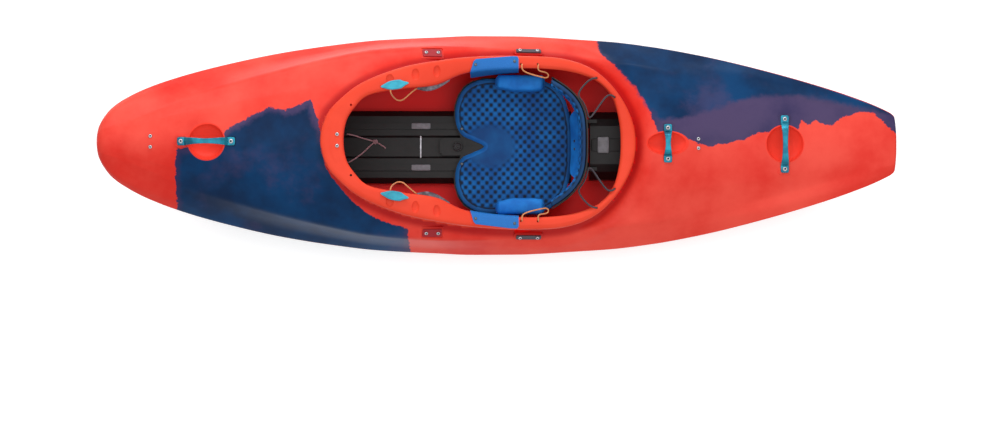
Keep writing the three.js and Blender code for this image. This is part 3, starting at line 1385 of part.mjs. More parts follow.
// A folded tab: one leaf on top of the coaming, one leaf down behind the hip pad.
// Its sections stand at the coaming's own, so that it lies on the coaming all along.
function buildRimTabs() {
  for (const [label, side] of sides) {
    const rings = [];
    const first = Math.ceil(coamingParameter(rimTabPlaceShares.front) * coamingSteps);
    const last = Math.floor(coamingParameter(rimTabPlaceShares.rear) * coamingSteps);
    for (let i = first; i <= last; i += 1) {
      const { lip, inward, width } = coamingPlace(i / coamingSteps);
      const g = RIM_TAB_GAP;
      const c = RIM_TAB_THICKNESS;
      const top = lip.z;
      const corner = top - lipRoundShares.innerDrop * LIP_ROUND;
      rings.push([
        [width - RIM_TAB_REACH, top + g], [width - RIM_TAB_REACH, top + g + c],
        [width - lipRoundShares.under * LIP_ROUND, top + g + c], [width + g + c, corner],
        [width + g + c, RIM_TAB_BOTTOM_Z], [width + g, RIM_TAB_BOTTOM_Z], [width + g, corner],
        [width - lipRoundShares.inner * LIP_ROUND, top + g],
      ].map(([inset, z]) => new THREE.Vector3(
        lip.x + inward.x * inset, side * (lip.y + inward.y * inset), z,
      )));
    }
    place(`rim_tab_${label}`, bentLoft(rings), cloth(colours.blue));
  }
}

// Toggles, guides and cords

function toggleFrame(side) {
  const inset = (share) => {
    const { lip, inward, width } = coamingPlace(coamingParameter(share));
    return lip.clone().addScaledVector(inward, width - TOGGLE_WIDTH / 2);
  };
  const front = inset(togglePlaceShares.front);
  const rear = inset(togglePlaceShares.rear);
  const along = front.clone().sub(rear).normalize();
  const upward = new THREE.Vector3(0, 0, 1);
  const across = new THREE.Vector3().crossVectors(upward, along);
  const middle = front.clone().add(rear).multiplyScalar(0.5).addScaledVector(upward, TOGGLE_LIFT);
  const frame = frameAt(middle, along, new THREE.Vector3().crossVectors(along, across));
  return side > 0 ? frame : mirrorY(frame);
}

// A flat wing-shaped grip on the coaming, and the cord that runs from it to the guide under the rim
function buildToggles() {
  for (const [label, side] of sides) {
    const frame = toggleFrame(side);
    const rings = toggleWidthShares.map(([x, w]) => roundedBar(
      (x * TOGGLE_LENGTH) / 2, w * TOGGLE_WIDTH, TOGGLE_THICKNESS, -TOGGLE_THICKNESS / 2,
    ));
    place(`toggle_${label}`, loft(rings).applyMatrix4(frame), plastic(colours.turquoise));
    const route = toggleCordRoute.map(([x, y, z]) => new THREE.Vector3(x, side * y, z));
    const cord = tube(route, TOGGLE_CORD_DIAMETER, cordSides, toggleCordSteps);
    place(`toggle_cord_${label}`, cord, cloth(colours.orange));
    place(`cord_guide_${label}`, bentLoft(guideRings(side)), plastic(colours.grey));
  }
}

// Sections of the guide under the inner edge of the thigh grip, shallower towards its ends
function guideRings(side) {
  const rings = [];
  for (let i = 0; i <= guideSteps; i += 1) {
    const { front, rear } = guidePlaceShares;
    const share = front + ((rear - front) * i) / guideSteps;
    const { lip, inward, width } = coamingPlace(coamingParameter(share));
    const full = Math.sin((Math.PI * (i + 1)) / (guideSteps + 2));
    const top = lip.z - foldDepth(width) - FIT_GAP;
    const reach = GUIDE_REACH * full;
    const edge = GUIDE_HEIGHT / 4;
    rings.push([
      [width - GUIDE_DEPTH, top], [width + reach - edge, top], [width + reach, top - edge],
      [width + reach, top - GUIDE_HEIGHT + edge], [width + reach - edge, top - GUIDE_HEIGHT],
      [width - GUIDE_DEPTH, top - GUIDE_HEIGHT],
    ].map(([inset, z]) => new THREE.Vector3(
      lip.x + inward.x * inset, side * (lip.y + inward.y * inset), z,
    )));
  }
  return rings;
}

// A hole for a cord in the top of the coaming, and the inner edge that the cord runs over
function cordHole(share, side) {
  const t = coamingParameter(share);
  const { lip, inward, width } = coamingPlace(t);
  const [hole, edge] = [width - CORD_HOLE_INSET, width + CORD_DIP].map((inset) => {
    const point = lip.clone().addScaledVector(inward, inset);
    return new THREE.Vector3(point.x, side * point.y, point.z);
  });
  return { hole, edge };
}

// A point just behind the backband's shell
function behindBand(share, z) {
  const p = bandPoint(share);
  return new THREE.Vector3(p.x + ELASTIC_DIAMETER / 2 + BAND_CORD_GAP, p.y, z);
}

// A cord whose ends enter holes in the coaming, over the coaming's inner edge
function cordThroughRim(front, middle, rear, diameter) {
  for (const { hole } of [front, rear]) {
    const frame = new THREE.Matrix4().makeTranslation(hole.x, hole.y, hole.z);
    hullHoles.push({
      frame, radius: diameter / 2 + CORD_HOLE_GAP, low: -CORD_HOLE_DEPTH, high: CUT_OVERRUN,
    });
  }
  const lifted = (p, rise) => new THREE.Vector3(p.x, p.y, p.z + rise);
  const end = ({ hole, edge }) => [
    lifted(hole, -CORD_DIP), lifted(hole, 0), lifted(hole, diameter), lifted(edge, cordRideShare * diameter),
  ];
  return [...end(front), ...middle, ...end(rear).reverse()];
}

// Two ends of the cord at the front of the console, from their holes to the knot that joins them.
// The first goes on past the knot as a loose tail.
const frontKnot = [-371, 16, 46.6];
const frontCordRoute = [
  [-456, 38, 42], [-456, 38, 50], [-454, 38, 58], [-448, 37, 61], [-440, 35.5, 58], [-430, 33, 54],
  [-419, 29.5, 50], [-407, 26, 47.5], [-394, 22.5, 46.4], [-382, 19, 46.4], frontKnot, [-361, 11, 46.4],
  [-352, 5, 46.4], [-345, 1, 46.4], [-340, -4, 46.4],
];
const frontCordEndRoute = [
  [-454, -48, 42], [-454, -48, 50], [-452, -47, 58], [-446, -45, 61], [-438, -40, 58], [-429, -34, 53],
  [-419, -26, 48.5], [-409, -18, 46.6], [-399, -9, 46.4], [-389, 1, 46.4], [-380, 9, 46.4], [-373, 14.5, 46.6],
];
const frontCordSteps = 16;
const ballSides = 10;
const ballRows = 6;

function buildFrontCord() {
  const tubes = [frontCordRoute, frontCordEndRoute].map((route) => toSolid(tube(
    route.map(([x, y, z]) => new THREE.Vector3(x, y, z)), FRONT_CORD_DIAMETER, cordSides, frontCordSteps,
  )));
  const knot = new THREE.SphereGeometry(FRONT_KNOT_RADIUS, ballSides, ballRows);
  knot.scale(1, 1, knotFlatShare);
  const [x, y, z] = frontKnot;
  knot.translate(x, y, z);
  place('front_cord', toGeometry(tubes[0].add(tubes[1]).add(toSolid(knot))), cloth(colours.pink));
}

const cordSides = 8;
const toggleCordSteps = 16;
const guideSteps = 8;

// The starboard toggle's cord, from the toggle's inner edge in a hanging bight to the guide's end
const toggleCordRoute = [
  [-311, 143.1, 397.8], [-310, 137, 396.5], [-308, 132, 389], [-305, 127, 375], [-300, 122, 360],
  [-293, 118, 349], [-285, 117, 345], [-277, 119, 347], [-269, 125, 351], [-261, 132, 352],
  [-252, 140, 351], [-244, 146.5, 350.6], [-237.5, 151, 350.6],
];

const elasticSteps = 30;
const loopSteps = 20;
const bandContactShares = [0.72, 0.63, 0.54, 0.45, 0.36];

function buildCords() {
  for (const [label, side] of sides) {
    const elastic = cordThroughRim(
      cordHole(cordHoleShares.elasticOuter, side),
      bandContactShares.map((share) => behindBand(side * share, ELASTIC_Z)),
      cordHole(cordHoleShares.elasticInner, side),
      ELASTIC_DIAMETER,
    );
    const cord = tube(elastic, ELASTIC_DIAMETER, cordSides, elasticSteps);
    place(`elastic_cord_${label}`, cord, cloth(colours.cord));
    const tip = bandPoint(side);
    const bend = new THREE.Vector3(
      tip.x - BAND_PAD_THICKNESS / 2, tip.y + side * WING_CORD_CLEARANCE, tip.top - WING_CORD_CLEARANCE,
    );
    const loop = cordThroughRim(
      cordHole(cordHoleShares.loopFront, side), [bend], cordHole(cordHoleShares.loopRear, side),
      LOOP_CORD_DIAMETER,
    );
    place(`wing_cord_${label}`, tube(loop, LOOP_CORD_DIAMETER, cordSides, loopSteps), cloth(colours.orange));
  }
}

// Hull moulding, made last because it takes the bosses and holes of all that is fixed to it

function gripPockets() {
  const pockets = [];
  for (const side of [-1, 1]) {
    for (const share of gripPocketShares) {
      const { lip, inward, width } = coamingPlace(coamingParameter(share));
      const inset = Math.max(width * gripPocketInsetShare, GRIP_POCKET_RADIUS);
      const point = lip.clone().addScaledVector(inward, inset);
      const ball = new THREE.SphereGeometry(GRIP_POCKET_RADIUS, ballSides, ballRows);
      ball.scale(gripPocketSquashShare, 1, GRIP_POCKET_DEPTH / GRIP_POCKET_RADIUS);
      ball.translate(point.x, side * point.y, point.z);
      pockets.push(toSolid(ball));
    }
  }
  return pockets;
}

function buildHull() {
  let outer = hullForm(0);
  for (const boss of hullBosses) outer = outer.add(boss(0));
  for (const recess of hullRecesses) outer = outer.subtract(recess());
  for (const dish of dishes(0)) outer = outer.subtract(dish);
  let space = hullForm(HULL_WALL);
  for (const dish of dishes(HULL_WALL)) space = space.subtract(dish);
  for (const boss of hullBosses) space = space.subtract(boss(0));
  let hull = outer.subtract(space).subtract(plugSolid()).add(coamingRing());
  for (const pocket of gripPockets()) hull = hull.subtract(pocket);
  for (const hole of hullHoles) {
    hull = hull.subtract(barSolid(hole.frame, hole.radius, hole.low, hole.high));
  }
  place('hull_shell', toGeometry(hull), plastic(colours.hull));
}

buildHandles();
buildDeckPlate(
  'pocket_plate', coamingX(platePlaceShares.pocketPlate), COAMING_HALF_WIDTH + POCKET_PLATE_OUTSET,
  POCKET_PLATE_LENGTH, POCKET_PLATE_WIDTH,
  PLATE_THICKNESS, POCKET_BOLT_SPACING, POCKET_SINK, plastic(colours.plate),
);
buildDeckPlate(
  'side_bar', coamingX(platePlaceShares.sideBar), COAMING_HALF_WIDTH + SIDE_BAR_OUTSET,
  SIDE_BAR_LENGTH, SIDE_BAR_WIDTH,
  SIDE_BAR_THICKNESS, SIDE_BAR_BOLT_SPACING, SIDE_BAR_SINK, metal(colours.bar),
);
buildCoamingBolts();
buildPillarScrews();
buildFootrest();
buildPillars();
buildConsole();
buildSeat();
buildTail();
buildBackband();
buildHipPads();
buildRimTabs();
buildToggles();
buildCords();
buildFrontCord();
buildHull();

export default kayak;
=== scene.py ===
import math

import bmesh
import bpy
import numpy as np
from mathutils import Matrix, Vector


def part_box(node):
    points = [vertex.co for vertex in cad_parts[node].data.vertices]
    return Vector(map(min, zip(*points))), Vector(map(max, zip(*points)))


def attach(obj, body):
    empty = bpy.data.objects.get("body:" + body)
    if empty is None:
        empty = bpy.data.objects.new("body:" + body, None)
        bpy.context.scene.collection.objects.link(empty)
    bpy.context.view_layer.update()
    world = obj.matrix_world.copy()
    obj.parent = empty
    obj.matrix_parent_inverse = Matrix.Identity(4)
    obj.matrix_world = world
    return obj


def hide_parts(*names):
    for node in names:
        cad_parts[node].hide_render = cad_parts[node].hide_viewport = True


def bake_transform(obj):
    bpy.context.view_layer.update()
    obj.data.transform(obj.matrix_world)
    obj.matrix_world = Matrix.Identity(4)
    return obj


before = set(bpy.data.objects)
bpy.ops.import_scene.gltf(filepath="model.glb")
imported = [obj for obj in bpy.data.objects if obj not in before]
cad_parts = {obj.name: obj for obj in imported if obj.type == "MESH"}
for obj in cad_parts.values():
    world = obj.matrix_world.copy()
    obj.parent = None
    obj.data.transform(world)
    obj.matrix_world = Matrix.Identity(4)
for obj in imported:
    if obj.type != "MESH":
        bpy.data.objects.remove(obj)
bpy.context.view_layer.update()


# Camera: it hangs over the boat, to port of its middle, and looks almost straight down with the bow to
# the left, as the plan view of the photograph does. The scale holds at the height of the rim.
PHOTO_WIDTH, PHOTO_SCALE = 999, 0.002882
RIM_HEIGHT, CAMERA_HEIGHT, CAMERA_TO_PORT, CAMERA_TILT = 0.30, 7.6, 0.2176, math.radians(1.6)

camera_data = bpy.data.cameras.new("plan_camera")
camera_data.sensor_width = 36.0
camera_data.lens = 36.0 * (CAMERA_HEIGHT - RIM_HEIGHT) / (PHOTO_WIDTH * PHOTO_SCALE)
camera = bpy.data.objects.new("plan_camera", camera_data)
camera.location = (0.0, -CAMERA_TO_PORT - (CAMERA_HEIGHT - RIM_HEIGHT) * math.tan(CAMERA_TILT), CAMERA_HEIGHT)
camera.rotation_euler = (CAMERA_TILT, 0.0, 0.0)
bpy.context.scene.collection.objects.link(camera)
bpy.context.scene.camera = camera


# Studio: a pale floor that reads white, an even white sky, and two long softboxes beside the boat
# with a weaker one over it, at a level at which colours render about as they are written.
def tint(code):
    """Linear colour of a hexadecimal sRGB code: each channel by the two-part sRGB curve."""
    c = np.array([int(code[i:i + 2], 16) / 255 for i in (1, 3, 5)])
    c = np.where(c <= 0.04045, c / 12.92, ((c + 0.055) / 1.055) ** 2.4)
    return (*[float(v) for v in c], 1.0)


class Field:
    """The output of a node, which can stand in arithmetic."""

    def __init__(self, shader, socket):
        self.shader, self.socket = shader, socket

    def math(self, operation, *others):
        """One Math node on this value and the others."""
        return self.shader.node("ShaderNodeMath", {"operation": operation}, [self, *others])

    def __add__(self, other):
        return self.math("ADD", other)

    __radd__ = __add__

    def __mul__(self, other):
        return self.math("MULTIPLY", other)

    __rmul__ = __mul__

    def __sub__(self, other):
        return self.math("SUBTRACT", other)

    def __rsub__(self, other):
        return self.shader.node("ShaderNodeMath", {"operation": "SUBTRACT"}, [other, self])

    def over(self, low, high):
        """Smooth step: 0 at low, 1 at high, which may be the smaller of the two."""
        flip = low > high
        values = [self, high, low, 1.0, 0.0] if flip else [self, low, high, 0.0, 1.0]
        return self.shader.node("ShaderNodeMapRange", {"interpolation_type": "SMOOTHSTEP"}, values)


class Shader:
    """The node tree of a material or a world. Every node comes from one method."""

    def __init__(self, owner):
        owner.use_nodes = True
        self.tree = owner.node_tree
        self.tree.nodes.clear()

    def node(self, kind, settings=None, values=(), output=0):
        """A node with its settings, then the values or links of its sockets, and one of its outputs."""
        node = self.tree.nodes.new(kind)
        for key, value in (settings or {}).items():
            if key == "ramp":
                self.set_ramp(node.color_ramp, value)
            else:
                setattr(node, key, value)
        pairs = values.items() if isinstance(values, dict) else enumerate(values)
        for key, value in pairs:
            if isinstance(value, Field):
                self.tree.links.new(value.socket, node.inputs[key])
            else:
                node.inputs[key].default_value = value
        return Field(self, node.outputs[output]) if len(node.outputs) else None

    @staticmethod
    def set_ramp(ramp, stops):
        """Places and colours of a ramp's stops."""
        while len(ramp.elements) < len(stops):
            ramp.elements.new(0.5)
        for element, (place, colour) in zip(ramp.elements, stops):
            element.position, element.color = place, colour

    def here(self, name="Object"):
        """The point being shaded, in the piece's own coordinates."""
        return self.node("ShaderNodeTexCoord", output=name)

    def noise(self, scale, detail=3.0, vector=None, rough=0.5):
        """Fractal noise round 0.5."""
        return self.node("ShaderNodeTexNoise", None, {
            "Vector": vector or self.here(), "Scale": scale, "Detail": detail, "Roughness": rough})

    def blend(self, factor, a, b):
        """Colour a where the factor is 0 and b where it is 1."""
        return self.node("ShaderNodeMix", {"data_type": "RGBA"}, {0: factor, 6: a, 7: b}, output=2)

    def bump(self, height, strength, distance, normal=None):
        """A normal tipped by a height, on top of another normal if one is given."""
        values = {"Height": height, "Strength": strength, "Distance": distance}
        if normal:
            values["Normal"] = normal
        return self.node("ShaderNodeBump", None, values)

    def attribute(self, name):
        """One number that the mesh keeps for each point."""
        return self.node("ShaderNodeAttribute", {"attribute_name": name}, output="Fac")

    def surface(self, **values):
        """The finish, from the sockets named, into the material's output."""
        names = {key.replace("_", " "): value for key, value in values.items()}
        made = self.node("ShaderNodeBsdfPrincipled", None, names)
        self.node("ShaderNodeOutputMaterial", None, {"Surface": made})


def new_material(name):
    """An empty material and the shader that fills it."""
    material = bpy.data.materials.new(name)
    return material, Shader(material)


def seen_directly(shader):
    """1 for rays that reach the eye, straight or by a mirror or a pane, and 0 for the rest."""
    path = shader.tree.nodes.new("ShaderNodeLightPath").outputs
    rays = [Field(shader, path[name]) for name in ("Is Camera Ray", "Is Glossy Ray", "Is Transmission Ray")]
    return rays[0].math("MAXIMUM", rays[1]).math("MAXIMUM", rays[2])


bpy.context.scene.view_settings.view_transform = "Standard"
SKY_LIGHT, FLOOR_SHADE, FLOOR_GLOW = 0.57, 0.72, 0.58
world = bpy.data.worlds.new("studio")
bpy.context.scene.world = world
sky = Shader(world)
sky_level = seen_directly(sky) * (1.0 - SKY_LIGHT) + SKY_LIGHT
sky_colour = sky.node("ShaderNodeBackground", None, {"Color": (1, 1, 1, 1), "Strength": sky_level})
sky.node("ShaderNodeOutputWorld", None, {"Surface": sky_colour})

floor_mesh = bpy.data.meshes.new("studio_floor")
floor_mesh.from_pydata([(-9, -9, -6e-4), (9, -9, -6e-4), (9, 9, -6e-4), (-9, 9, -6e-4)], [], [(0, 1, 2, 3)])
studio_floor = bpy.data.objects.new("studio_floor", floor_mesh)
bpy.context.scene.collection.objects.link(studio_floor)
floor_paint, shader = new_material("floor_paper")
matte = shader.node("ShaderNodeBsdfDiffuse", None, {"Color": (FLOOR_SHADE,) * 3 + (1,)})
glow = shader.node("ShaderNodeEmission", None, {
    "Color": (1, 1, 1, 1), "Strength": seen_directly(shader) * FLOOR_GLOW})
paper = shader.node("ShaderNodeAddShader", None, [matte, glow])
shader.node("ShaderNodeOutputMaterial", None, {"Surface": paper})
floor_mesh.materials.append(floor_paint)


def softbox(name, place, aim, size, power):
    """A rectangular lamp at one point that faces another."""
    lamp = bpy.data.lights.new(name, "AREA")
    lamp.shape, lamp.size, lamp.size_y, lamp.energy = "RECTANGLE", size[0], size[1], power
    made = bpy.data.objects.new(name, lamp)
    made.location = place
    direction = Vector(aim) - Vector(place)
    made.rotation_euler = direction.to_track_quat("-Z", "Y").to_euler()
    bpy.context.scene.collection.objects.link(made)


softbox("softbox_starboard", (-0.4, 3.2, 1.7), (-0.2, 0, 0.2), (4.4, 0.6), 74)
softbox("softbox_port", (0.2, -3.0, 2.2), (0, 0, 0.2), (4.0, 0.9), 7)
softbox("softbox_over", (0.2, 0.4, 3.6), (0, 0, 0.3), (5.0, 3.4), 66)


# Cords at the front of the console, at the toggles and behind the backband: braided line, limp
# where it is slack and taut where it is elastic. Each follows the route of its CAD solid.
def bezier_path(points, count, closed=False):
    """Centripetal Catmull-Rom curve through the points: cubic pieces whose end tangents weigh the
    neighbouring chords by the square roots of their lengths. count places at even parameters."""
    p = np.asarray(points, float)
    n = len(p)
    if closed:
        ring = np.vstack([p[-1:], p, p[:2]])
        at = np.arange(count) / count * n
    else:
        ring = np.vstack([2 * p[:1] - p[1:2], p, 2 * p[-1:] - p[-2:-1]])
        at = np.linspace(0, n - 1, count)
    i = np.minimum(at.astype(int), (n if closed else n - 1) - 1)
    t = (at - i)[:, None]
    a, b, c, d = (ring[i + k] for k in range(4))
    gap = [np.sqrt(np.maximum(np.linalg.norm(v - u, axis=1), 1e-9))[:, None]
           for u, v in ((a, b), (b, c), (c, d))]
    start = ((b - a) / gap[0] - (c - a) / (gap[0] + gap[1]) + (c - b) / gap[1]) * gap[1]
    end = ((c - b) / gap[1] - (d - b) / (gap[1] + gap[2]) + (d - c) / gap[2]) * gap[1]
    return (b + start * t + (3 * (c - b) - 2 * start - end) * t ** 2
            + (2 * (b - c) + start + end) * t ** 3)


def make_object(name, vertices, faces, uv=None, smooth=True):
    """A mesh object at the origin from vertices and faces, its faces turned outwards."""
    mesh = bpy.data.meshes.new(name)
    mesh.from_pydata(np.asarray(vertices).tolist(), [], faces)
    if uv is not None:
        layer = mesh.uv_layers.new(name="UVMap")
        layer.data.foreach_set("uv", np.asarray(uv, dtype=np.float32).ravel())
    work = bmesh.new()
    work.from_mesh(mesh)
    bmesh.ops.recalc_face_normals(work, faces=work.faces)
    work.to_mesh(mesh)
    work.free()
    mesh.polygons.foreach_set("use_smooth", [smooth] * len(mesh.polygons))
    made = bpy.data.objects.new(name, mesh)
    bpy.context.scene.collection.objects.link(made)
    return made


def skin(name, rings, closed=False, around=True, uv_scale=(1.0, 1.0)):
    """A surface over a grid of points (rings, places, 3). Its rings are closed loops where around
    is true, and it ends in flat faces, or joins end to end where closed is true."""
    rings = np.asarray(rings, float)
    rows, cols = rings.shape[:2]
    r, c = np.meshgrid(np.arange(rows if closed else rows - 1), np.arange(cols if around else cols - 1),
                       indexing="ij")
    r, c = r.ravel(), c.ravel()
    at = lambda i, j: (i % rows) * cols + j % cols
    quads = np.stack([at(r, c), at(r, c + 1), at(r + 1, c + 1), at(r + 1, c)], axis=1)
    u = np.stack([c, c + 1, c + 1, c], axis=1) / cols * uv_scale[0]
    v = np.stack([r, r, r + 1, r + 1], axis=1) / rows * uv_scale[1]
    faces, uv = quads.tolist(), np.stack([u, v], axis=2).reshape(-1, 2)
    if around and not closed:
        for row in (0, rows - 1):
            faces.append([row * cols + k for k in range(cols)])
            uv = np.vstack([uv, np.zeros((cols, 2))])
    return make_object(name, rings.reshape(-1, 3), faces, uv)


def path_frames(path):
    """Unit tangents of a path, and two unit vectors square to them, the first nearest to a fixed
    direction that the path seldom takes."""
    tangent = np.gradient(path, axis=0)
    tangent /= np.linalg.norm(tangent, axis=1)[:, None]
    spread = path.max(axis=0) - path.min(axis=0)
    fixed = np.eye(3)[int(np.argmin(spread))]
    side = np.cross(tangent, fixed)
    side /= np.maximum(np.linalg.norm(side, axis=1), 1e-6)[:, None]
    return tangent, side, np.cross(side, tangent)


def eased_path(path, radius):
    """The path spaced evenly and averaged by a bell curve along its length, with its ends kept, so
    that its sharpest corners turn through about the radius."""
    gone = np.concatenate([[0], np.linalg.norm(np.diff(path, axis=0), axis=1).cumsum()])
    even = np.linspace(0, gone[-1], len(path))
    path = np.stack([np.interp(even, gone, axis) for axis in path.T], axis=1)
    width = radius / 1.6 / even[1]
    reach = int(3 * width) + 1
    bell = np.exp(-(np.arange(-reach, reach + 1) / width) ** 2 / 2)
    longer = np.vstack([2 * path[0] - path[reach:0:-1], path, 2 * path[-1] - path[-2:-reach - 2:-1]])
    return np.stack([np.convolve(axis, bell / bell.sum(), "valid") for axis in longer.T], axis=1)


def cord_piece(name, points, diameter, count=120, sides=14, radius=None):
    """A round section carried along a smooth path, its map running round and along in diameters."""
    path = bezier_path(points, count)
    path = eased_path(path, radius) if radius else path
    _, side, up = path_frames(path)
    angle = np.arange(sides) / sides * 2 * np.pi
    rings = (path[:, None] + diameter / 2 * (
        np.cos(angle)[None, :, None] * side[:, None] + np.sin(angle)[None, :, None] * up[:, None]))
    length = float(np.linalg.norm(np.diff(path, axis=0), axis=1).sum())
    return skin(name, rings, uv_scale=(1.0, length / diameter)), path, length


def braid(name, light, dark, strands=5):
    """Braided sleeve: two crossed sets of strands round the cord, with painted light on their crowns and
    painted shade between them.
    """
    material, shader = new_material(name)
    place = shader.here("UV")
    parts = shader.tree.nodes.new("ShaderNodeSeparateXYZ")
    shader.tree.links.new(place.socket, parts.inputs[0])
    u, v = Field(shader, parts.outputs[0]), Field(shader, parts.outputs[1])
    wave = lambda value: (value * (2 * math.pi)).math("SINE")
    crossed = (wave(u * strands + v * 1.1) * wave(u * strands - v * 1.1)) * 0.5 + 0.5
    fleck = shader.noise(420.0, 2.0).over(0.56, 0.68)
    # Painted light and shade: the light tint goes on the strands' crowns and the dark tint in the hollows
    # between them.
    colour = shader.blend(crossed.over(0.1, 0.8), tint(dark), tint(light))
    colour = shader.blend(fleck * 0.35, colour, tint("#2d2a33"))
    shader.surface(Base_Color=colour, Roughness=crossed * -0.15 + 0.8,
                   Normal=shader.bump(crossed, 0.6, 0.0006), Sheen_Weight=0.2)
    return material


front_line = np.array([
    [-456, 38, 42], [-456, 38, 50], [-454, 38, 58], [-448, 37, 61], [-440, 35.5, 58], [-430, 33, 54],
    [-419, 29.5, 50], [-407, 26, 47.5], [-394, 22.5, 46.4], [-382, 19, 46.4], [-371, 16, 46.6],
    [-361, 11, 46.4], [-352, 5, 46.4], [-345, 1, 46.4], [-340, -4, 46.4]]) / 1000
front_line_end = np.array([
    [-454, -48, 42], [-454, -48, 50], [-452, -47, 58], [-446, -45, 61], [-438, -40, 58], [-429, -34, 53],
    [-419, -26, 48.5], [-409, -18, 46.6], [-399, -9, 46.4], [-389, 1, 46.4], [-380, 9, 46.4],
    [-373, 14.5, 46.6]]) / 1000
toggle_line = np.array([
    [-311, 143.1, 397.8], [-310, 137, 396.5], [-308, 132, 389], [-305, 127, 375], [-300, 122, 360],
    [-293, 118, 349], [-285, 117, 345], [-277, 119, 347], [-269, 125, 351], [-261, 132, 352],
    [-252, 140, 351], [-244, 146.5, 350.6], [-237.5, 151, 350.6]]) / 1000
elastic_line = np.array([
    [281.69, 188.45, 259.37], [281.69, 188.45, 264.37], [281.69, 188.45, 269.37], [264.98, 185.31, 268.37],
    [227.66, 138.24, 274], [240.08, 120.96, 274], [248.9, 103.68, 274], [254.81, 86.4, 274],
    [258.48, 69.12, 274], [318.43, 141.07, 262.7], [333.6, 133.4, 263.7], [333.6, 133.4, 258.7],
    [333.6, 133.4, 253.7]]) / 1000
wing_line = np.array([
    [65.72, 227.43, 277.04], [65.72, 227.43, 282.04], [65.72, 227.43, 286.04], [65.53, 210.43, 285.24],
    [128, 190, 260], [137, 189, 254], [143.5, 194, 251], [142.5, 201, 252], [135, 205, 258],
    [111.11, 210.84, 276.88], [113.49, 227.67, 277.68], [113.49, 227.67, 273.68],
    [113.49, 227.67, 268.68]]) / 1000
pink_braid = braid("pink_braid", "#d9a9ad", "#8d6173")
orange_braid = braid("orange_braid", "#f2a668", "#b65f30")
dark_braid = braid("dark_braid", "#3f3742", "#161218")

front_cord, front_path, front_length = cord_piece("front_cord_line", front_line, 0.004)
front_cord.data.materials.append(pink_braid)
other_end, end_path, end_length = cord_piece("front_cord_second_end", front_line_end, 0.004, 90)
other_end.data.materials.append(pink_braid)


def knot(name, centre, radius, diameter):
    """An overhand knot drawn tight: a trefoil, x = sin t + 2 sin 2t, y = cos t - 2 cos 2t and
    z = -sin 3t, shrunk to the knot's radius, with the cord's own section."""
    t = np.linspace(0, 2 * np.pi, 97)[:-1]
    path = np.stack([np.sin(t) + 2 * np.sin(2 * t), np.cos(t) - 2 * np.cos(2 * t), -1.1 * np.sin(3 * t)],
                    axis=1)
    path = path / 3 * (radius - diameter / 2) + np.asarray(centre)
    tangent = np.roll(path, -1, axis=0) - np.roll(path, 1, axis=0)
    tangent /= np.linalg.norm(tangent, axis=1)[:, None]
    side = np.cross(tangent, [0, 0, 1.0])
    side /= np.linalg.norm(side, axis=1)[:, None]
    up = np.cross(side, tangent)
    angle = np.arange(12) / 12 * 2 * np.pi
    rings = path[:, None] + diameter * 0.42 * (
        np.cos(angle)[None, :, None] * side[:, None] + np.sin(angle)[None, :, None] * up[:, None])
    return skin(name, rings, closed=True, uv_scale=(1.0, 18.0))


front_knot = knot("front_cord_knot", front_line[10] + [0, 0, 0.0006], 0.0085, 0.0042)
front_knot.data.materials.append(pink_braid)
for piece in (front_cord, other_end, front_knot):
    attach(piece, "hull")
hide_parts("front_cord")

for side_name, side in (("port", -1), ("starboard", 1)):
    flip = np.array([1, side, 1])
    for name, line, diameter, paint, slot, count in (
            ("toggle_cord", toggle_line, 0.004, orange_braid, "orange_cord", 110),
            ("elastic_cord", elastic_line, 0.005, dark_braid, "elastic", 160),
            ("wing_cord", wing_line, 0.004, orange_braid, "orange_cord", 110)):
        radius = None if name == "toggle_cord" else 2.4 * diameter
        made, path, length = cord_piece(f"{name}_line_{side_name}", line * flip, diameter, count,
                                        radius=radius)
        made.data.materials.append(paint)
        if name == "elastic_cord":
            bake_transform(made)
        else:
            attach(made, "hull")
        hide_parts(f"{name}_{side_name}")
        tuple(line[0] * flip)


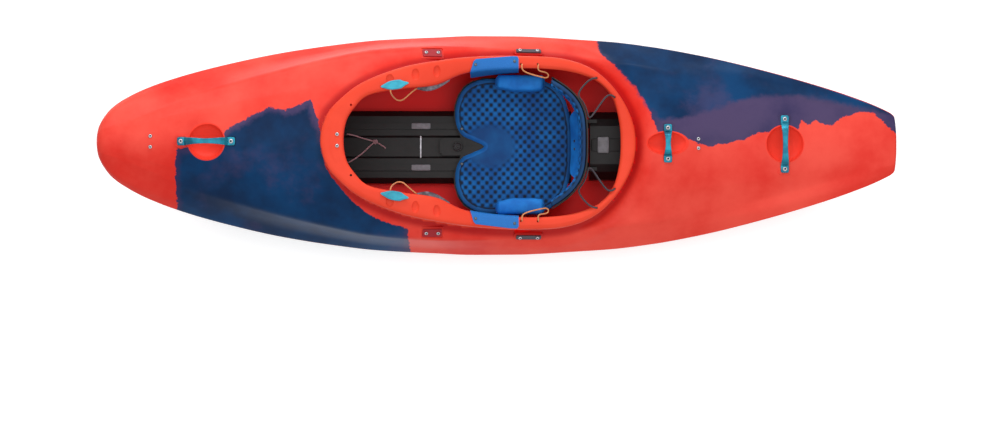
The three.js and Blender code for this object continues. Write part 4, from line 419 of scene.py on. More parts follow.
# Hull: one rotomoulded polyethylene shell, 6 mm thick, with its deck, coaming, thigh grips and
# handle dishes. It is drawn from a table of offsets, as a boat is: shares of the length, then of
# the height and the half beam, for the keel, five lengthwise edges a side and the deck's middle.
LENGTH, HALF_BEAM, HEIGHT, WALL = 2.32, 0.325, 0.405, 0.006
OFFSETS = np.array([
    [0.000, 0.748, 0.035, 0.750, 0.070, 0.760, 0.092, 0.778, 0.075, 0.792, 0.045, 0.802, 0.806],
    [0.004, 0.711, 0.070, 0.716, 0.135, 0.728, 0.172, 0.752, 0.150, 0.780, 0.090, 0.812, 0.826],
    [0.009, 0.677, 0.095, 0.684, 0.185, 0.705, 0.235, 0.740, 0.205, 0.775, 0.110, 0.822, 0.838],
    [0.016, 0.632, 0.120, 0.641, 0.240, 0.672, 0.303, 0.716, 0.262, 0.762, 0.125, 0.824, 0.841],
    [0.031, 0.556, 0.160, 0.568, 0.310, 0.618, 0.389, 0.684, 0.335, 0.742, 0.160, 0.806, 0.834],
    [0.061, 0.435, 0.215, 0.450, 0.410, 0.545, 0.507, 0.615, 0.432, 0.690, 0.250, 0.780, 0.826],
    [0.106, 0.291, 0.285, 0.306, 0.520, 0.460, 0.629, 0.531, 0.530, 0.628, 0.385, 0.728, 0.826],
    [0.165, 0.163, 0.365, 0.176, 0.645, 0.375, 0.747, 0.457, 0.636, 0.562, 0.520, 0.706, 0.850],
    [0.225, 0.079, 0.435, 0.088, 0.755, 0.305, 0.842, 0.402, 0.735, 0.510, 0.640, 0.720, 0.874],
    [0.285, 0.035, 0.500, 0.041, 0.835, 0.250, 0.910, 0.370, 0.820, 0.470, 0.745, 0.735, 0.904],
    [0.344, 0.014, 0.555, 0.017, 0.890, 0.200, 0.959, 0.350, 0.890, 0.450, 0.825, 0.700, 0.915],
    [0.404, 0.002, 0.595, 0.002, 0.922, 0.165, 0.982, 0.335, 0.925, 0.430, 0.860, 0.640, 0.900],
    [0.419, 0.000, 0.600, 0.000, 0.928, 0.160, 0.986, 0.333, 0.930, 0.425, 0.865, 0.622, 0.880],
    [0.463, 0.000, 0.610, 0.000, 0.940, 0.145, 1.000, 0.328, 0.940, 0.415, 0.860, 0.565, 0.760],
    [0.523, 0.000, 0.605, 0.000, 0.938, 0.140, 0.998, 0.326, 0.935, 0.405, 0.830, 0.520, 0.560],
    [0.553, 0.000, 0.590, 0.000, 0.928, 0.140, 0.990, 0.325, 0.920, 0.400, 0.800, 0.505, 0.530],
    [0.583, 0.015, 0.575, 0.018, 0.915, 0.142, 0.977, 0.323, 0.900, 0.395, 0.780, 0.495, 0.520],
    [0.642, 0.042, 0.540, 0.048, 0.880, 0.160, 0.950, 0.319, 0.865, 0.395, 0.740, 0.490, 0.520],
    [0.668, 0.060, 0.520, 0.066, 0.856, 0.172, 0.930, 0.316, 0.840, 0.394, 0.715, 0.482, 0.545],
    [0.690, 0.078, 0.503, 0.085, 0.834, 0.184, 0.908, 0.314, 0.818, 0.390, 0.698, 0.474, 0.598],
    [0.702, 0.086, 0.495, 0.094, 0.820, 0.190, 0.896, 0.314, 0.800, 0.388, 0.685, 0.468, 0.605],
    [0.762, 0.143, 0.440, 0.153, 0.735, 0.230, 0.814, 0.333, 0.715, 0.390, 0.600, 0.430, 0.548],
    [0.821, 0.212, 0.380, 0.224, 0.635, 0.285, 0.710, 0.373, 0.615, 0.408, 0.515, 0.424, 0.510],
    [0.881, 0.299, 0.310, 0.311, 0.520, 0.355, 0.588, 0.415, 0.500, 0.440, 0.400, 0.448, 0.505],
    [0.940, 0.391, 0.235, 0.402, 0.395, 0.425, 0.448, 0.457, 0.375, 0.475, 0.290, 0.484, 0.518],
    [0.985, 0.462, 0.180, 0.470, 0.280, 0.480, 0.312, 0.494, 0.270, 0.508, 0.210, 0.522, 0.534],
    [0.997, 0.484, 0.160, 0.489, 0.230, 0.495, 0.255, 0.503, 0.225, 0.513, 0.180, 0.524, 0.531],
    [1.000, 0.492, 0.120, 0.495, 0.165, 0.500, 0.182, 0.507, 0.160, 0.514, 0.130, 0.522, 0.526]])
EDGE_TURNS = (0.30, 0.32, 0.16, 0.34, 0.16)
CROWN_START, CROWN_POWER = 0.66, 1.8


def table_curves(table, at):
    """Cubic Hermite curves through the rows of a table. A row's slope is the harmonic mean of the
    slopes on its two sides, or zero where they differ in sign, so the curves never overshoot."""
    x, y = table[:, 0], table[:, 1:]
    step = np.diff(x)
    secant = np.diff(y, axis=0) / step[:, None]
    product, total = secant[:-1] * secant[1:], secant[:-1] + secant[1:]
    inner = np.where(product > 0, 2 * product / np.where(product > 0, total, 1), 0)
    slope = np.vstack([secant[:1], inner, secant[-1:]])
    i = np.clip(np.searchsorted(x, at, side="left") - 1, 0, len(x) - 2)
    h = step[i][:, None]
    t = np.clip((at - x[i])[:, None] / h, 0, 1)
    return ((1 + 2 * t) * (1 - t) ** 2 * y[i] + t * (1 - t) ** 2 * h * slope[i]
            + t * t * (3 - 2 * t) * y[i + 1] + t * t * (t - 1) * h * slope[i + 1])


def half_sections(shares, flats, turns, crown):
    """Sections from the keel up to the deck's middle, as (station, place, y or z). Straight sides
    of flats[k] steps join arcs (1-t)^2 a + 2t(1-t) corner + t^2 b of turns[k] steps, and the deck
    falls from its middle by the 1.8th power of the share of the ridge's half width."""
    rows = table_curves(OFFSETS, shares)
    corner = np.zeros((len(shares), 7, 2))
    corner[:, 0, 1] = rows[:, 0]
    corner[:, 1:6, 0], corner[:, 1:6, 1] = rows[:, 1:11:2], rows[:, 2:12:2]
    corner *= [HALF_BEAM, HEIGHT]
    top, ridge = rows[:, 11] * HEIGHT, corner[:, 5]
    share = np.linspace(CROWN_START, 0, crown + 1)
    arch = np.stack([share * ridge[:, :1],
                     top[:, None] - (top - ridge[:, 1])[:, None] * share ** CROWN_POWER],
                    axis=2)
    corner[:, 6] = arch[:, 0]
    parts, last = [], corner[:, 0]
    for k, turn in enumerate(EDGE_TURNS, 1):
        a = corner[:, k] + turn * (corner[:, k - 1] - corner[:, k])
        b = corner[:, k] + turn * (corner[:, k + 1] - corner[:, k])
        t = np.arange(flats[k - 1])[None, :, None] / flats[k - 1]
        parts.append(last[:, None] * (1 - t) + a[:, None] * t)
        t = np.arange(turns[k - 1])[None, :, None] / turns[k - 1]
        parts.append((1 - t) ** 2 * a[:, None] + 2 * t * (1 - t) * corner[:, k][:, None] + t * t * b[:, None])
        last = b
    t = np.arange(flats[5])[None, :, None] / flats[5]
    return np.concatenate([*parts, last[:, None] * (1 - t) + arch[:, :1] * t, arch], axis=1)


def smooth_step(value, low, high):
    """0 at low and 1 at high, by 3t^2 - 2t^3."""
    t = np.clip((value - low) / (high - low), 0, 1)
    return t * t * (3 - 2 * t)


# Half of the coaming's outline, front to rear: shares of its length and half width for the outer
# lip, then for the opening, then the share of the hull's height of its top.
COAMING_LENGTH, COAMING_HALF_WIDTH, COAMING_MIDDLE = 0.908, 0.252, -0.0575
COAMING = np.array([
    [0.000, 0.000, 0.074, 0.000, 1.000], [0.022, 0.297, 0.084, 0.229, 1.000],
    [0.067, 0.480, 0.108, 0.366, 1.000], [0.124, 0.640, 0.146, 0.500, 0.990],
    [0.253, 0.831, 0.263, 0.589, 0.951], [0.381, 0.926, 0.362, 0.640, 0.885],
    [0.473, 0.971, 0.457, 0.783, 0.825], [0.629, 1.000, 0.629, 0.854, 0.700],
    [0.771, 0.971, 0.756, 0.840, 0.660], [0.860, 0.857, 0.829, 0.783, 0.655],
    [0.921, 0.674, 0.883, 0.691, 0.650], [0.968, 0.434, 0.924, 0.520, 0.637],
    [0.994, 0.194, 0.946, 0.251, 0.630], [1.000, 0.000, 0.951, 0.000, 0.628]])
RIM_STEPS = 264


def rim_curve(columns, count):
    """A closed curve through half the coaming's outline and its mirror image."""
    half = np.stack([COAMING_MIDDLE + (COAMING[:, columns[0]] - 0.5) * COAMING_LENGTH,
                     COAMING[:, columns[1]] * COAMING_HALF_WIDTH, COAMING[:, 4] * HEIGHT], axis=1)
    return bezier_path(np.vstack([half, half[-2:0:-1] * [1, -1, 1]]), count, closed=True)


def rim_places(count, shift=0.0):
    """Lip points, unit directions inwards in plan and the rim's width, round the coaming."""
    fine = count * 4
    lip, edge = rim_curve((0, 1), fine), rim_curve((2, 3), fine)
    take = (np.arange(count) * 4 + int(shift * 4)) % fine
    lip, edge = lip[take], edge[take]
    inward = (edge - lip)[:, :2]
    width = np.linalg.norm(inward, axis=1)
    return lip, inward / width[:, None], width


def plan_distance(points, outline, block=4000):
    """Distance in plan from points to a closed outline, negative inside it: the least distance to
    its edges, signed by how many of them a ray towards +X crosses."""
    a, b = outline[:, :2], np.roll(outline[:, :2], -1, axis=0)
    edge = b - a
    found = []
    for start in range(0, len(points), block):
        p = points[start:start + block, None, :2]
        t = np.clip(((p - a) * edge).sum(2) / (edge ** 2).sum(1), 0, 1)
        near = np.linalg.norm(p - a - t[..., None] * edge, axis=2).min(axis=1)
        level = (a[:, 1] > p[..., 1]) != (b[:, 1] > p[..., 1])
        cross = a[:, 0] + (p[..., 1] - a[:, 1]) * edge[:, 0] / np.where(edge[:, 1] == 0, 1, edge[:, 1])
        inside = (level & (cross > p[..., 0])).sum(axis=1) % 2 == 1
        found.append(np.where(inside, -near, near))
    return np.concatenate(found)


lip_outline = rim_curve((0, 1), 240)


def gutter(points, distance):
    """How far the deck dips beside the coaming, less how far it swells just outside the dip."""
    x = points[:, 0]
    depth = np.interp(x, [-0.52, -0.42, -0.2, 0.1, 0.3, 0.41], [0.000, 0.003, 0.008, 0.010, 0.012, 0.008])
    band = np.interp(x, [-0.5, -0.2, 0.1, 0.3, 0.42], [0.000, 0.002, 0.003, 0.006, 0.003])
    dip = depth * (1 - smooth_step(distance, 0.006, 0.036))
    return dip - band * np.exp(-((distance - 0.050) / 0.013) ** 2)


def hull_rings(shares, flats, turns, crown, inset=0.0):
    """Whole sections as rings of points. An inset draws each towards its own middle, and the last
    few millimetres at bow and stern shrink to a point by a quarter circle."""
    half = half_sections(shares, flats, turns, crown)
    ring = np.concatenate([half, half[:, -2:0:-1] * [-1, 1]], axis=1)
    if inset:
        beam = ring[..., 0].max(axis=1)[:, None]
        low, high = ring[..., 1].min(axis=1)[:, None], ring[..., 1].max(axis=1)[:, None]
        middle = (low + high) / 2
        ring = np.stack([ring[..., 0] * (1 - inset / beam),
                         middle + (ring[..., 1] - middle) * (1 - 2 * inset / (high - low))], axis=2)
    else:
        end = np.minimum(shares, 1 - shares) / 0.0024
        swell = np.sqrt(np.clip(1 - (1 - np.clip(end, 0.0008, 1)) ** 2, 0, 1))[:, None, None]
        middle = (ring.min(axis=1, keepdims=True) + ring.max(axis=1, keepdims=True)) / 2
        ring = middle + (ring - middle) * (0.25 + 0.75 * swell)
    x = np.broadcast_to(((shares - 0.5) * LENGTH)[:, None, None], (*ring.shape[:2], 1))
    ring = np.concatenate([x, ring], axis=2)
    count = half.shape[1]
    start = sum(flats[:3]) + sum(turns[:3])
    deck = np.zeros(ring.shape[1], bool)
    deck[start:2 * (count - 1) - start + 1] = True
    points = ring[:, deck].reshape(-1, 3)
    distance = plan_distance(points, lip_outline)
    ring[:, deck, 2] -= gutter(points, distance).reshape(len(shares), -1)
    return ring


near_ends = np.array([0.0002, 0.0005, 0.0009, 0.0014, 0.0019, 0.0024, 0.004, 0.0065, 0.009, 0.0125, 0.016])
outer_shares = np.unique(np.concatenate([[0.0], near_ends, np.linspace(0.02, 0.98, 340), 1 - near_ends,
                                         [1.0]]))
outer_rings = hull_rings(outer_shares, (3, 5, 6, 6, 8, 14), (3, 5, 6, 8, 6), 26)
inner_rings = hull_rings(np.linspace(0.02, 0.98, 130), (2, 3, 3, 3, 4, 7), (2, 3, 3, 4, 3), 14, WALL)


def deck_height(x, y):
    """Height of the outer deck over plan points, by straight lines between the hull's rings."""
    half = outer_rings.shape[1] // 2
    across = outer_rings[:, half // 2:half + 1][:, ::-1]
    grid = np.linspace(0, 0.33, 100)
    heights = np.array([np.interp(grid, row[:, 1], row[:, 2]) for row in across])
    i = np.clip(np.searchsorted(outer_rings[:, 0, 0], x) - 1, 0, len(heights) - 2)
    t = (x - outer_rings[i, 0, 0]) / (outer_rings[i + 1, 0, 0] - outer_rings[i, 0, 0])
    place = np.abs(y) / grid[1]
    j = np.clip(place.astype(int), 0, 98)
    s = place - j
    at = lambda a: heights[a, j] * (1 - s) + heights[a, j + 1] * s
    return at(i) * (1 - t) + at(i + 1) * t


def round_profile(points, radius, steps):
    """Closed profiles (ring, corner, 2) with each corner cut to an arc (1-t)^2 a + 2t(1-t) corner
    + t^2 b, that leaves its two sides at the radius, or at half a side where that is shorter."""
    before, after = np.roll(points, 1, axis=1), np.roll(points, -1, axis=1)
    toward = lambda q: (q - points) / np.maximum(np.linalg.norm(q - points, axis=2), 1e-9)[..., None] * (
        np.minimum(np.asarray(radius), 0.48 * np.linalg.norm(q - points, axis=2))[..., None])
    a, b = points + toward(before), points + toward(after)
    t = (np.arange(steps + 1) / steps)[None, None, :, None]
    arcs = (1 - t) ** 2 * a[:, :, None] + 2 * t * (1 - t) * points[:, :, None] + t * t * b[:, :, None]
    return arcs.reshape(len(points), -1, 2)


LIP_ROUND, LIP_DEPTH, RIM_WALL, FLANGE, FOLD = 0.009, 0.020, 0.008, 0.008, 0.018


def coaming_rings(count):
    """The coaming's section at places round it: a rounded lip, a broad top that falls a little
    inwards, a folded inner edge and a wall that stands in the gutter of the deck."""
    lip, inward, width = rim_places(count)
    reach = np.minimum(0.024, width - RIM_WALL - FLANGE - 0.001)
    room = width - reach - RIM_WALL - FLANGE - 0.001
    shallow = FLANGE + 0.0005
    fold = shallow + (FOLD - shallow) * np.minimum(1, room / FLANGE)
    top = lip[:, 2]
    foot = lambda inset: deck_height(lip[:, 0] + inward[:, 0] * inset,
                                     lip[:, 1] + inward[:, 1] * inset) - 0.003
    wall_in = reach + RIM_WALL
    zero = np.zeros(count)
    pairs = [
        (zero, top - 1.3 * LIP_ROUND), (zero + 0.3 * LIP_ROUND, top - 0.35 * LIP_ROUND),
        (zero + 1.3 * LIP_ROUND, top), (width * 0.4, top + 0.0006), (width * 0.6, top + 0.0006),
        (width - 0.8 * LIP_ROUND, top), (width, top - 0.6 * LIP_ROUND), (width, top - fold),
        (width - 0.7 * FLANGE, top - fold), (width - FLANGE, top - FLANGE), (wall_in, top - FLANGE),
        (wall_in, foot(wall_in)), (reach, foot(reach)), (reach, top - LIP_DEPTH),
        (zero + 0.5 * LIP_ROUND, top - LIP_DEPTH), (zero, top - LIP_DEPTH + 0.4 * LIP_ROUND)]
    profile = np.stack([np.stack(pair, axis=1) for pair in pairs], axis=1)
    radius = np.array([5, 5, 6, 12, 12, 5, 5, 2, 2, 2, 2, 1, 1, 6, 3, 3]) / 1000
    profile = round_profile(profile, radius[None, :], 3)
    plan = lip[:, None, :2] + inward[:, None, :] * profile[..., :1]
    ring = np.concatenate([plan, profile[..., 1:]], axis=2)
    pad = 1 - smooth_step(np.hypot((ring[..., 0] + 0.463) / 0.021, ring[..., 1] / 0.066), 0.84, 1.0)
    ring[..., 2] += 0.0012 * pad * (profile[..., 1] > (top - 0.004)[:, None])
    return ring


def opening_prism(count):
    """What the cockpit takes out of the deck, up to the middle of the coaming's wall."""
    lip, inward, width = rim_places(count, 0.5)
    inset = np.minimum(0.024, width - RIM_WALL - FLANGE - 0.001) + 0.004
    plan = lip[:, :2] + inward * inset[:, None]
    level = lambda z: np.column_stack([plan, np.full(count, z)])
    return np.stack([level(0.42 * HEIGHT), level(HEIGHT + 0.03)])


def ball_rings(centre, size, rows=26, cols=56):
    """An ellipsoid as rings about its upright axis."""
    polar = np.linspace(0.03, np.pi - 0.03, rows)[:, None]
    round_it = (np.arange(cols) / cols * 2 * np.pi)[None, :]
    unit = np.stack([np.sin(polar) * np.cos(round_it), np.sin(polar) * np.sin(round_it),
                     np.cos(polar) * np.ones_like(round_it)], axis=2)
    return unit * size + np.asarray(centre)


def slab_rings(matrix, length, width, low, high, corner=0.005, cols=8):
    """A rounded rectangle in a frame's XY plane, between two heights on its Z axis."""
    angle = np.arange(4 * cols) / (4 * cols) * 2 * np.pi + np.pi / (4 * cols)
    way = np.stack([np.cos(angle), np.sin(angle)], axis=1)
    plan = np.sign(way) * (np.array([length, width]) / 2 - corner) + way * corner
    rings = np.stack([np.column_stack([plan, np.full(len(plan), z)]) for z in (low, high)])
    turn = np.asarray(matrix)
    return rings @ turn[:3, :3].T + turn[:3, 3]


def frame_matrix(columns):
    """A 4 x 4 frame from its X, Y and Z axes and its place."""
    made = np.eye(4)
    made[:3, :4] = np.array(columns, float).T
    return made


def mirrored(matrix):
    """The frame on the other side of the boat."""
    return np.diag([1, -1, 1, 1]) @ matrix


# Seats of the handles, plates, bars and rail bolts, in metres: frames on the deck or the side
handle_frames = {
    "bow": frame_matrix([[1, 0, 0], [0, 1, 0], [0, 0, 1], [-0.8417, 0, 0.34165]]),
    "mid": frame_matrix([[0, 1, 0], [-1, 0, 0], [0, 0, 1], [0.490, 0, 0.23955]]),
    "stern": frame_matrix([[0, 1, 0], [-1, 0, 0], [0, 0, 1], [0.8344, 0, 0.19808]])}
handle_sizes = {"bow": (0.1438, 0.020), "mid": (0.090, 0.014), "stern": (0.146, 0.018)}
pocket_frame = frame_matrix([[0.983, 0, -0.1834], [-0.0959, 0.8525, -0.5139], [0.1563, 0.5228, 0.838],
                             [-0.195, 0.262, 0.26424]])
bar_frame = frame_matrix([[0.9799, 0, -0.1994], [-0.1358, 0.7321, -0.6675], [0.1459, 0.6812, 0.7174],
                          [0.085, 0.272, 0.19916]])
rail_bolt_places = [(-0.565, 0.260427 - 0.0015), (-0.483, 0.282082 - 0.0015)]
slide = lambda matrix, x, y, z: matrix @ np.block([
    [np.eye(3), np.array([[x], [y], [z]])], [np.zeros((1, 3)), np.ones((1, 1))]])


def combine(target, tool, operation):
    """One boolean, applied, after which the tool is gone."""
    step = target.modifiers.new("cut", "BOOLEAN")
    step.operation, step.object, step.solver = operation, tool, "MANIFOLD"
    graph = bpy.context.evaluated_depsgraph_get()
    mesh = bpy.data.meshes.new_from_object(target.evaluated_get(graph))
    target.modifiers.clear()
    old = target.data
    target.data = mesh
    bpy.data.meshes.remove(old)
    bpy.data.objects.remove(tool)


def joined(name, solids):
    """Several closed grids as one mesh, for one cut."""
    made = [skin(f"{name}_{k}", rings) for k, rings in enumerate(solids)]
    work = bmesh.new()
    for part in made:
        work.from_mesh(part.data)
    mesh = bpy.data.meshes.new(name)
    work.to_mesh(mesh)
    work.free()
    for part in made:
        bpy.data.objects.remove(part)
    whole = bpy.data.objects.new(name, mesh)
    bpy.context.scene.collection.objects.link(whole)
    return whole


hull = skin("hull_moulding", outer_rings)
bosses, recesses = [], []
for name, matrix in handle_frames.items():
    for end in (-1, 1):
        seat = slide(matrix, end * handle_sizes[name][0] / 2, 0, 0)
        bosses.append(slab_rings(seat, 0.032, 0.034, -0.0255, 0.0005, 0.008))
        recesses.append(slab_rings(seat, 0.028, 0.030, 0.0, 0.016, 0.007))
for matrix, length, width, sink in ((pocket_frame, 0.064, 0.034, 0.003), (bar_frame, 0.082, 0.022, 0.001)):
    for side_frame in (matrix, mirrored(matrix)):
        seat = slide(side_frame, 0, 0, -sink)
        bosses.append(slab_rings(seat, length + 0.004, width + 0.004, -0.0235, 0.0005, 0.006))
        recesses.append(slab_rings(seat, length, width, 0.0, 0.012, 0.005))
for side in (-1, 1):
    for x, y in rail_bolt_places:
        out = frame_matrix([[1, 0, 0], [0, 0, -side], [0, side, 0], [x, side * y, 0.116]])
        bosses.append(slab_rings(out, 0.023, 0.023, -0.012, 0.0005, 0.0114))
        recesses.append(slab_rings(out, 0.019, 0.019, 0.0, 0.012, 0.0094))
dishes = [((-0.8417, 0.052, 0.052, 0.030)), ((0.490, 0.060, 0.033, 0.022)), ((0.8344, 0.054, 0.054, 0.028))]
combine(hull, joined("bosses", bosses), "UNION")
combine(hull, joined("recesses", recesses), "DIFFERENCE")
dish_levels = deck_height(np.array([d[0] for d in dishes]), np.zeros(3))
combine(hull, joined("dishes", [ball_rings((d[0], 0, z), d[1:]) for d, z in zip(dishes, dish_levels)]),
        "DIFFERENCE")

hollow = skin("hollow", inner_rings)
combine(hollow, joined("dish_bowls", [ball_rings((d[0], 0, z), np.array(d[1:]) + WALL, 16, 30)
                                     for d, z in zip(dishes, dish_levels)]), "DIFFERENCE")
combine(hollow, joined("boss_blocks", bosses), "DIFFERENCE")
combine(hull, hollow, "DIFFERENCE")
combine(hull, skin("cockpit_opening", opening_prism(RIM_STEPS)), "DIFFERENCE")
combine(hull, skin("coaming_band", coaming_rings(RIM_STEPS), closed=True), "UNION")


def rim_point(share, side, inset_share=None, inset=None):
    """A point of the rim's top at a share of the coaming's length, some way in from its lip."""
    lip, inward, width = rim_places(400)
    half = slice(0, 201)
    i = int(np.argmin(np.abs(lip[half, 0] - (COAMING_MIDDLE + (share - 0.5) * COAMING_LENGTH))))
    reach = max(width[i] * inset_share, 0.017) if inset is None else width[i] - inset
    return np.array([*(lip[i, :2] + inward[i] * reach), lip[i, 2]]) * [1, side, 1]


def well_rings(place, radius, depth, cols=16):
    """A short upright round hole."""
    angle = np.arange(cols) / cols * 2 * np.pi
    plan = np.stack([np.cos(angle), np.sin(angle)], axis=1) * radius + np.asarray(place)[:2]
    return np.stack([np.column_stack([plan, np.full(cols, place[2] + z)]) for z in (-depth, 0.02)])


pockets = [ball_rings(rim_point(share, side, 0.45), np.array([0.7, 1, 6 / 17]) * 0.017, 16, 28)
           for side in (-1, 1) for share in (0.215, 0.300, 0.370)]
wells = [well_rings(rim_point(share, side, inset=0.012), radius, 0.013) for side in (-1, 1)
         for share, radius in ((0.896, 0.0037), (0.962, 0.0037), (0.636, 0.0032), (0.692, 0.0032),
                               (0.067, 0.0034))]
combine(hull, joined("grip_pockets", pockets), "DIFFERENCE")
combine(hull, joined("rim_wells", wells), "DIFFERENCE")


# Rotomoulded colour: three powders were laid in the mould, so the red, the deep blue and a band of
# both melted together run through the wall. The edges of the patches are ragged where they ran.
PIXEL = 0.002882


def plan_outline(pixels):
    """Corners of a patch of colour in metres, from places along and across the deck."""
    points = np.array(pixels, float)
    return np.stack([(points[:, 0] - 499.5) * PIXEL, (142.0 - points[:, 1]) * PIXEL], axis=1)


bow_patch = plan_outline([
    (408, 262), (408, 142), (324, 142), (321.6, 131), (316, 114), (311, 101), (300, 106), (286, 112),
    (269, 108), (256, 114), (244, 121), (237, 125), (227, 131), (222, 137), (200, 146), (178, 150),
    (176, 170), (175, 190), (172, 262)])
stern_patch = plan_outline([
    (600, 20), (600, 37), (602, 48), (612, 58), (631, 77), (641, 89), (649, 101), (655, 118), (658, 130),
    (672, 136), (692, 138), (704, 144), (714, 144), (735, 140), (761, 132), (772, 129), (802, 128),
    (806, 118), (814, 123), (821, 118), (835, 124), (845, 115), (858, 112), (870, 108.6), (880, 111.6),
    (892, 124), (905, 134), (915, 134), (915, 20)])
stern_core = plan_outline([
    (600, 20), (600, 37), (604, 48), (616, 60), (633, 80), (643, 92), (652, 108), (660, 118), (684, 118),
    (700, 112), (735, 100), (760, 94), (804, 91), (830, 97), (860, 103), (900, 112), (915, 112), (915, 20)])


def vertex_array(mesh):
    """All the mesh's points as rows."""
    flat = np.empty(len(mesh.vertices) * 3)
    mesh.vertices.foreach_get("co", flat)
    return flat.reshape(-1, 3)


def store(mesh, name, values):
    """Keep one number for each point of the mesh, for its material to read."""
    mesh.attributes.new(name, "FLOAT", "POINT").data.foreach_set("value", np.asarray(values, np.float32))


hull_mesh = hull.data
hull_mesh.shade_smooth()
hull_mesh.set_sharp_from_angle(angle=0.6)
points = vertex_array(hull_mesh)
normals = np.empty(len(points) * 3)
hull_mesh.vertex_normals.foreach_get("vector", normals)
normals = normals.reshape(-1, 3)
rows = table_curves(OFFSETS, np.clip(points[:, 0] / LENGTH + 0.5, 0, 1))
seam = rows[:, 6] * HEIGHT
low = points[:, 2] < seam
# On the side the bow patch's front edge leans forward, and below it each patch ends at the keel
aft_share = np.clip((bow_patch[0, 0] - points[:, 0]) / (bow_patch[0, 0] - bow_patch[-1, 0]), 0, 1)
lean = 0.55 * np.clip(seam - points[:, 2], 0, 0.16) * aft_share
bow_place = np.stack([points[:, 0] + lean, np.where(low, np.clip(4 * (points[:, 1] - 0.01), -0.3, 0.3),
                                                    points[:, 1])], 1)
stern_place = np.stack([points[:, 0], np.where(low, np.clip(4 * points[:, 1], -0.3, 0.3), points[:, 1])], 1)
outside_lip = plan_distance(points, lip_outline)
ring_width = np.interp(points[:, 0], (np.array([322, 353, 374, 600]) - 499.5) * PIXEL,
                       [0.000, 0.020, 0.035, 0.034])
middle_height = (rows[:, 0] + rows[:, 11]) / 2 * HEIGHT
outward = (normals[:, 1] * points[:, 1] + normals[:, 2] * (points[:, 2] - middle_height))
radial = normals[:, 0] * (points[:, 0] - lip_outline[:, 0].mean()) + normals[:, 1] * points[:, 1]
at_wall = (np.abs(outside_lip + 0.018) < 0.020) & (points[:, 2] > 0.18)
turned_in = (np.abs(normals[:, 2]) < 0.1) & (normals[:, 1] * points[:, 1] < 0)
under_deck = np.where(points[:, 2] > middle_height, (normals[:, 2] < -0.1) | turned_in, outward < 0)
inner_face = np.where(at_wall, radial < 0, under_deck | (outside_lip < -0.012))
store(hull_mesh, "bow_edge", plan_distance(bow_place, bow_patch))
store(hull_mesh, "stern_edge", plan_distance(stern_place, stern_patch))
store(hull_mesh, "stern_core", plan_distance(stern_place, stern_core))
store(hull_mesh, "ring_edge", np.where(low, 0.2, outside_lip - ring_width))
store(hull_mesh, "from_lip", np.where(low, 0.2, outside_lip))
store(hull_mesh, "above_seam", points[:, 2] - seam)
store(hull_mesh, "inner_face", inner_face)
rim_top = smooth_step(normals[:, 2], 0.05, 0.30) * (outside_lip < 0.001) * (points[:, 2] > 0.235)
store(hull_mesh, "rim_top", rim_top)
at_dish = np.min([np.hypot((points[:, 0] - d[0]) / (d[1] + 0.004),
                           points[:, 1] / (d[2] + 0.004)) for d in dishes], axis=0)
store(hull_mesh, "at_dish", at_dish)

material, shade = new_material("marbled_polyethylene")
place = shade.here("Object")
ragged = (shade.noise(34, 6, place, 0.62) - 0.5) * 0.030 + (shade.noise(190, 3, place, 0.6) - 0.5) * 0.007
soft_run = (shade.noise(9, 4, place, 0.6) - 0.5) * 0.05
bow_side = (shade.attribute("bow_edge") + ragged).over(0.0015, -0.0015)
bow_heart = (shade.attribute("bow_edge") + ragged + soft_run * 0.5).over(-0.004, -0.024)
stern_side = (shade.attribute("stern_edge") + ragged).over(0.0015, -0.0015)
stern_heart = (shade.attribute("stern_core") + ragged + soft_run * 0.4).over(0.010, -0.010)
ring = (shade.attribute("ring_edge") + ragged * 0.7).over(-0.001, 0.002)
outside = 1 - shade.attribute("inner_face")
dish_free = shade.attribute("at_dish").over(0.97, 1.0)
melted = bow_side.math("MAXIMUM", stern_side) * ring * outside * dish_free
heart = bow_heart.math("MAXIMUM", stern_heart) * ring * outside * dish_free
cloud = shade.noise(3.5, 5, place, 0.6)
red = shade.blend(cloud.over(0.3, 0.7), tint("#da2a20"), tint("#ec5042"))
red = shade.blend(shade.attribute("from_lip").over(0.004, -0.004), red, tint("#f44a2c"))
# Painted shade: the gutter round the coaming is painted dark red.
gutter_painted_shade = shade.attribute("from_lip").over(0.030, 0.010) * shade.attribute("from_lip").over(-0.006, 0.002)
red = shade.blend(gutter_painted_shade * 0.75, red, tint("#a80812"))
red = shade.blend(shade.attribute("at_dish").over(1.0, 0.95), red, tint("#ee3c2c"))
red = shade.blend(shade.attribute("inner_face"), red, tint("#f01c1c"))
red = shade.blend(shade.attribute("rim_top"), red,
                  shade.blend(cloud.over(0.3, 0.7), tint("#e2412a"), tint("#ee4c34")))
purple = shade.blend(cloud.over(0.35, 0.65), tint("#2b2850"), tint("#4a3d60"))
blue = shade.blend(shade.noise(5, 4, place, 0.6).over(0.3, 0.7), tint("#001f42"), tint("#003a68"))
under = shade.attribute("above_seam").over(0.002, -0.004) * outside
red = shade.blend(under, red, tint("#dc3c30"))
blue = shade.blend(under * 0.7, blue, tint("#16345c"))
purple = shade.blend(under * 0.6, purple, tint("#3c3c60"))
line = (shade.attribute("above_seam").over(-0.0030, -0.0016)
        * shade.attribute("above_seam").over(0.0016, 0.0002))
murk = shade.noise(5.5, 5, place, 0.62).over(0.50, 0.68) * 0.45
blue = shade.blend(murk, blue, purple)
colour = shade.blend(melted, red, purple)
colour = shade.blend(heart, colour, blue)
colour = shade.blend(line * melted, colour, tint("#e02c24"))
grain = shade.noise(1400, 2, place, 0.5)
peel = shade.noise(230, 2, place, 0.5)
wave = shade.noise(14, 2, place, 0.5)
normal = shade.bump(grain, 0.10, 0.0004)
normal = shade.bump(peel, 0.10, 0.0006, normal)
normal = shade.bump(wave, 0.10, 0.004, normal)
shade.surface(Base_Color=colour, Specular_IOR_Level=0.12, Roughness=0.30 + grain * 0.10 + cloud * 0.08,
              Normal=normal)
hull_mesh.materials.clear()
hull_mesh.materials.append(material)
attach(hull, "hull")
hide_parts("hull_shell")
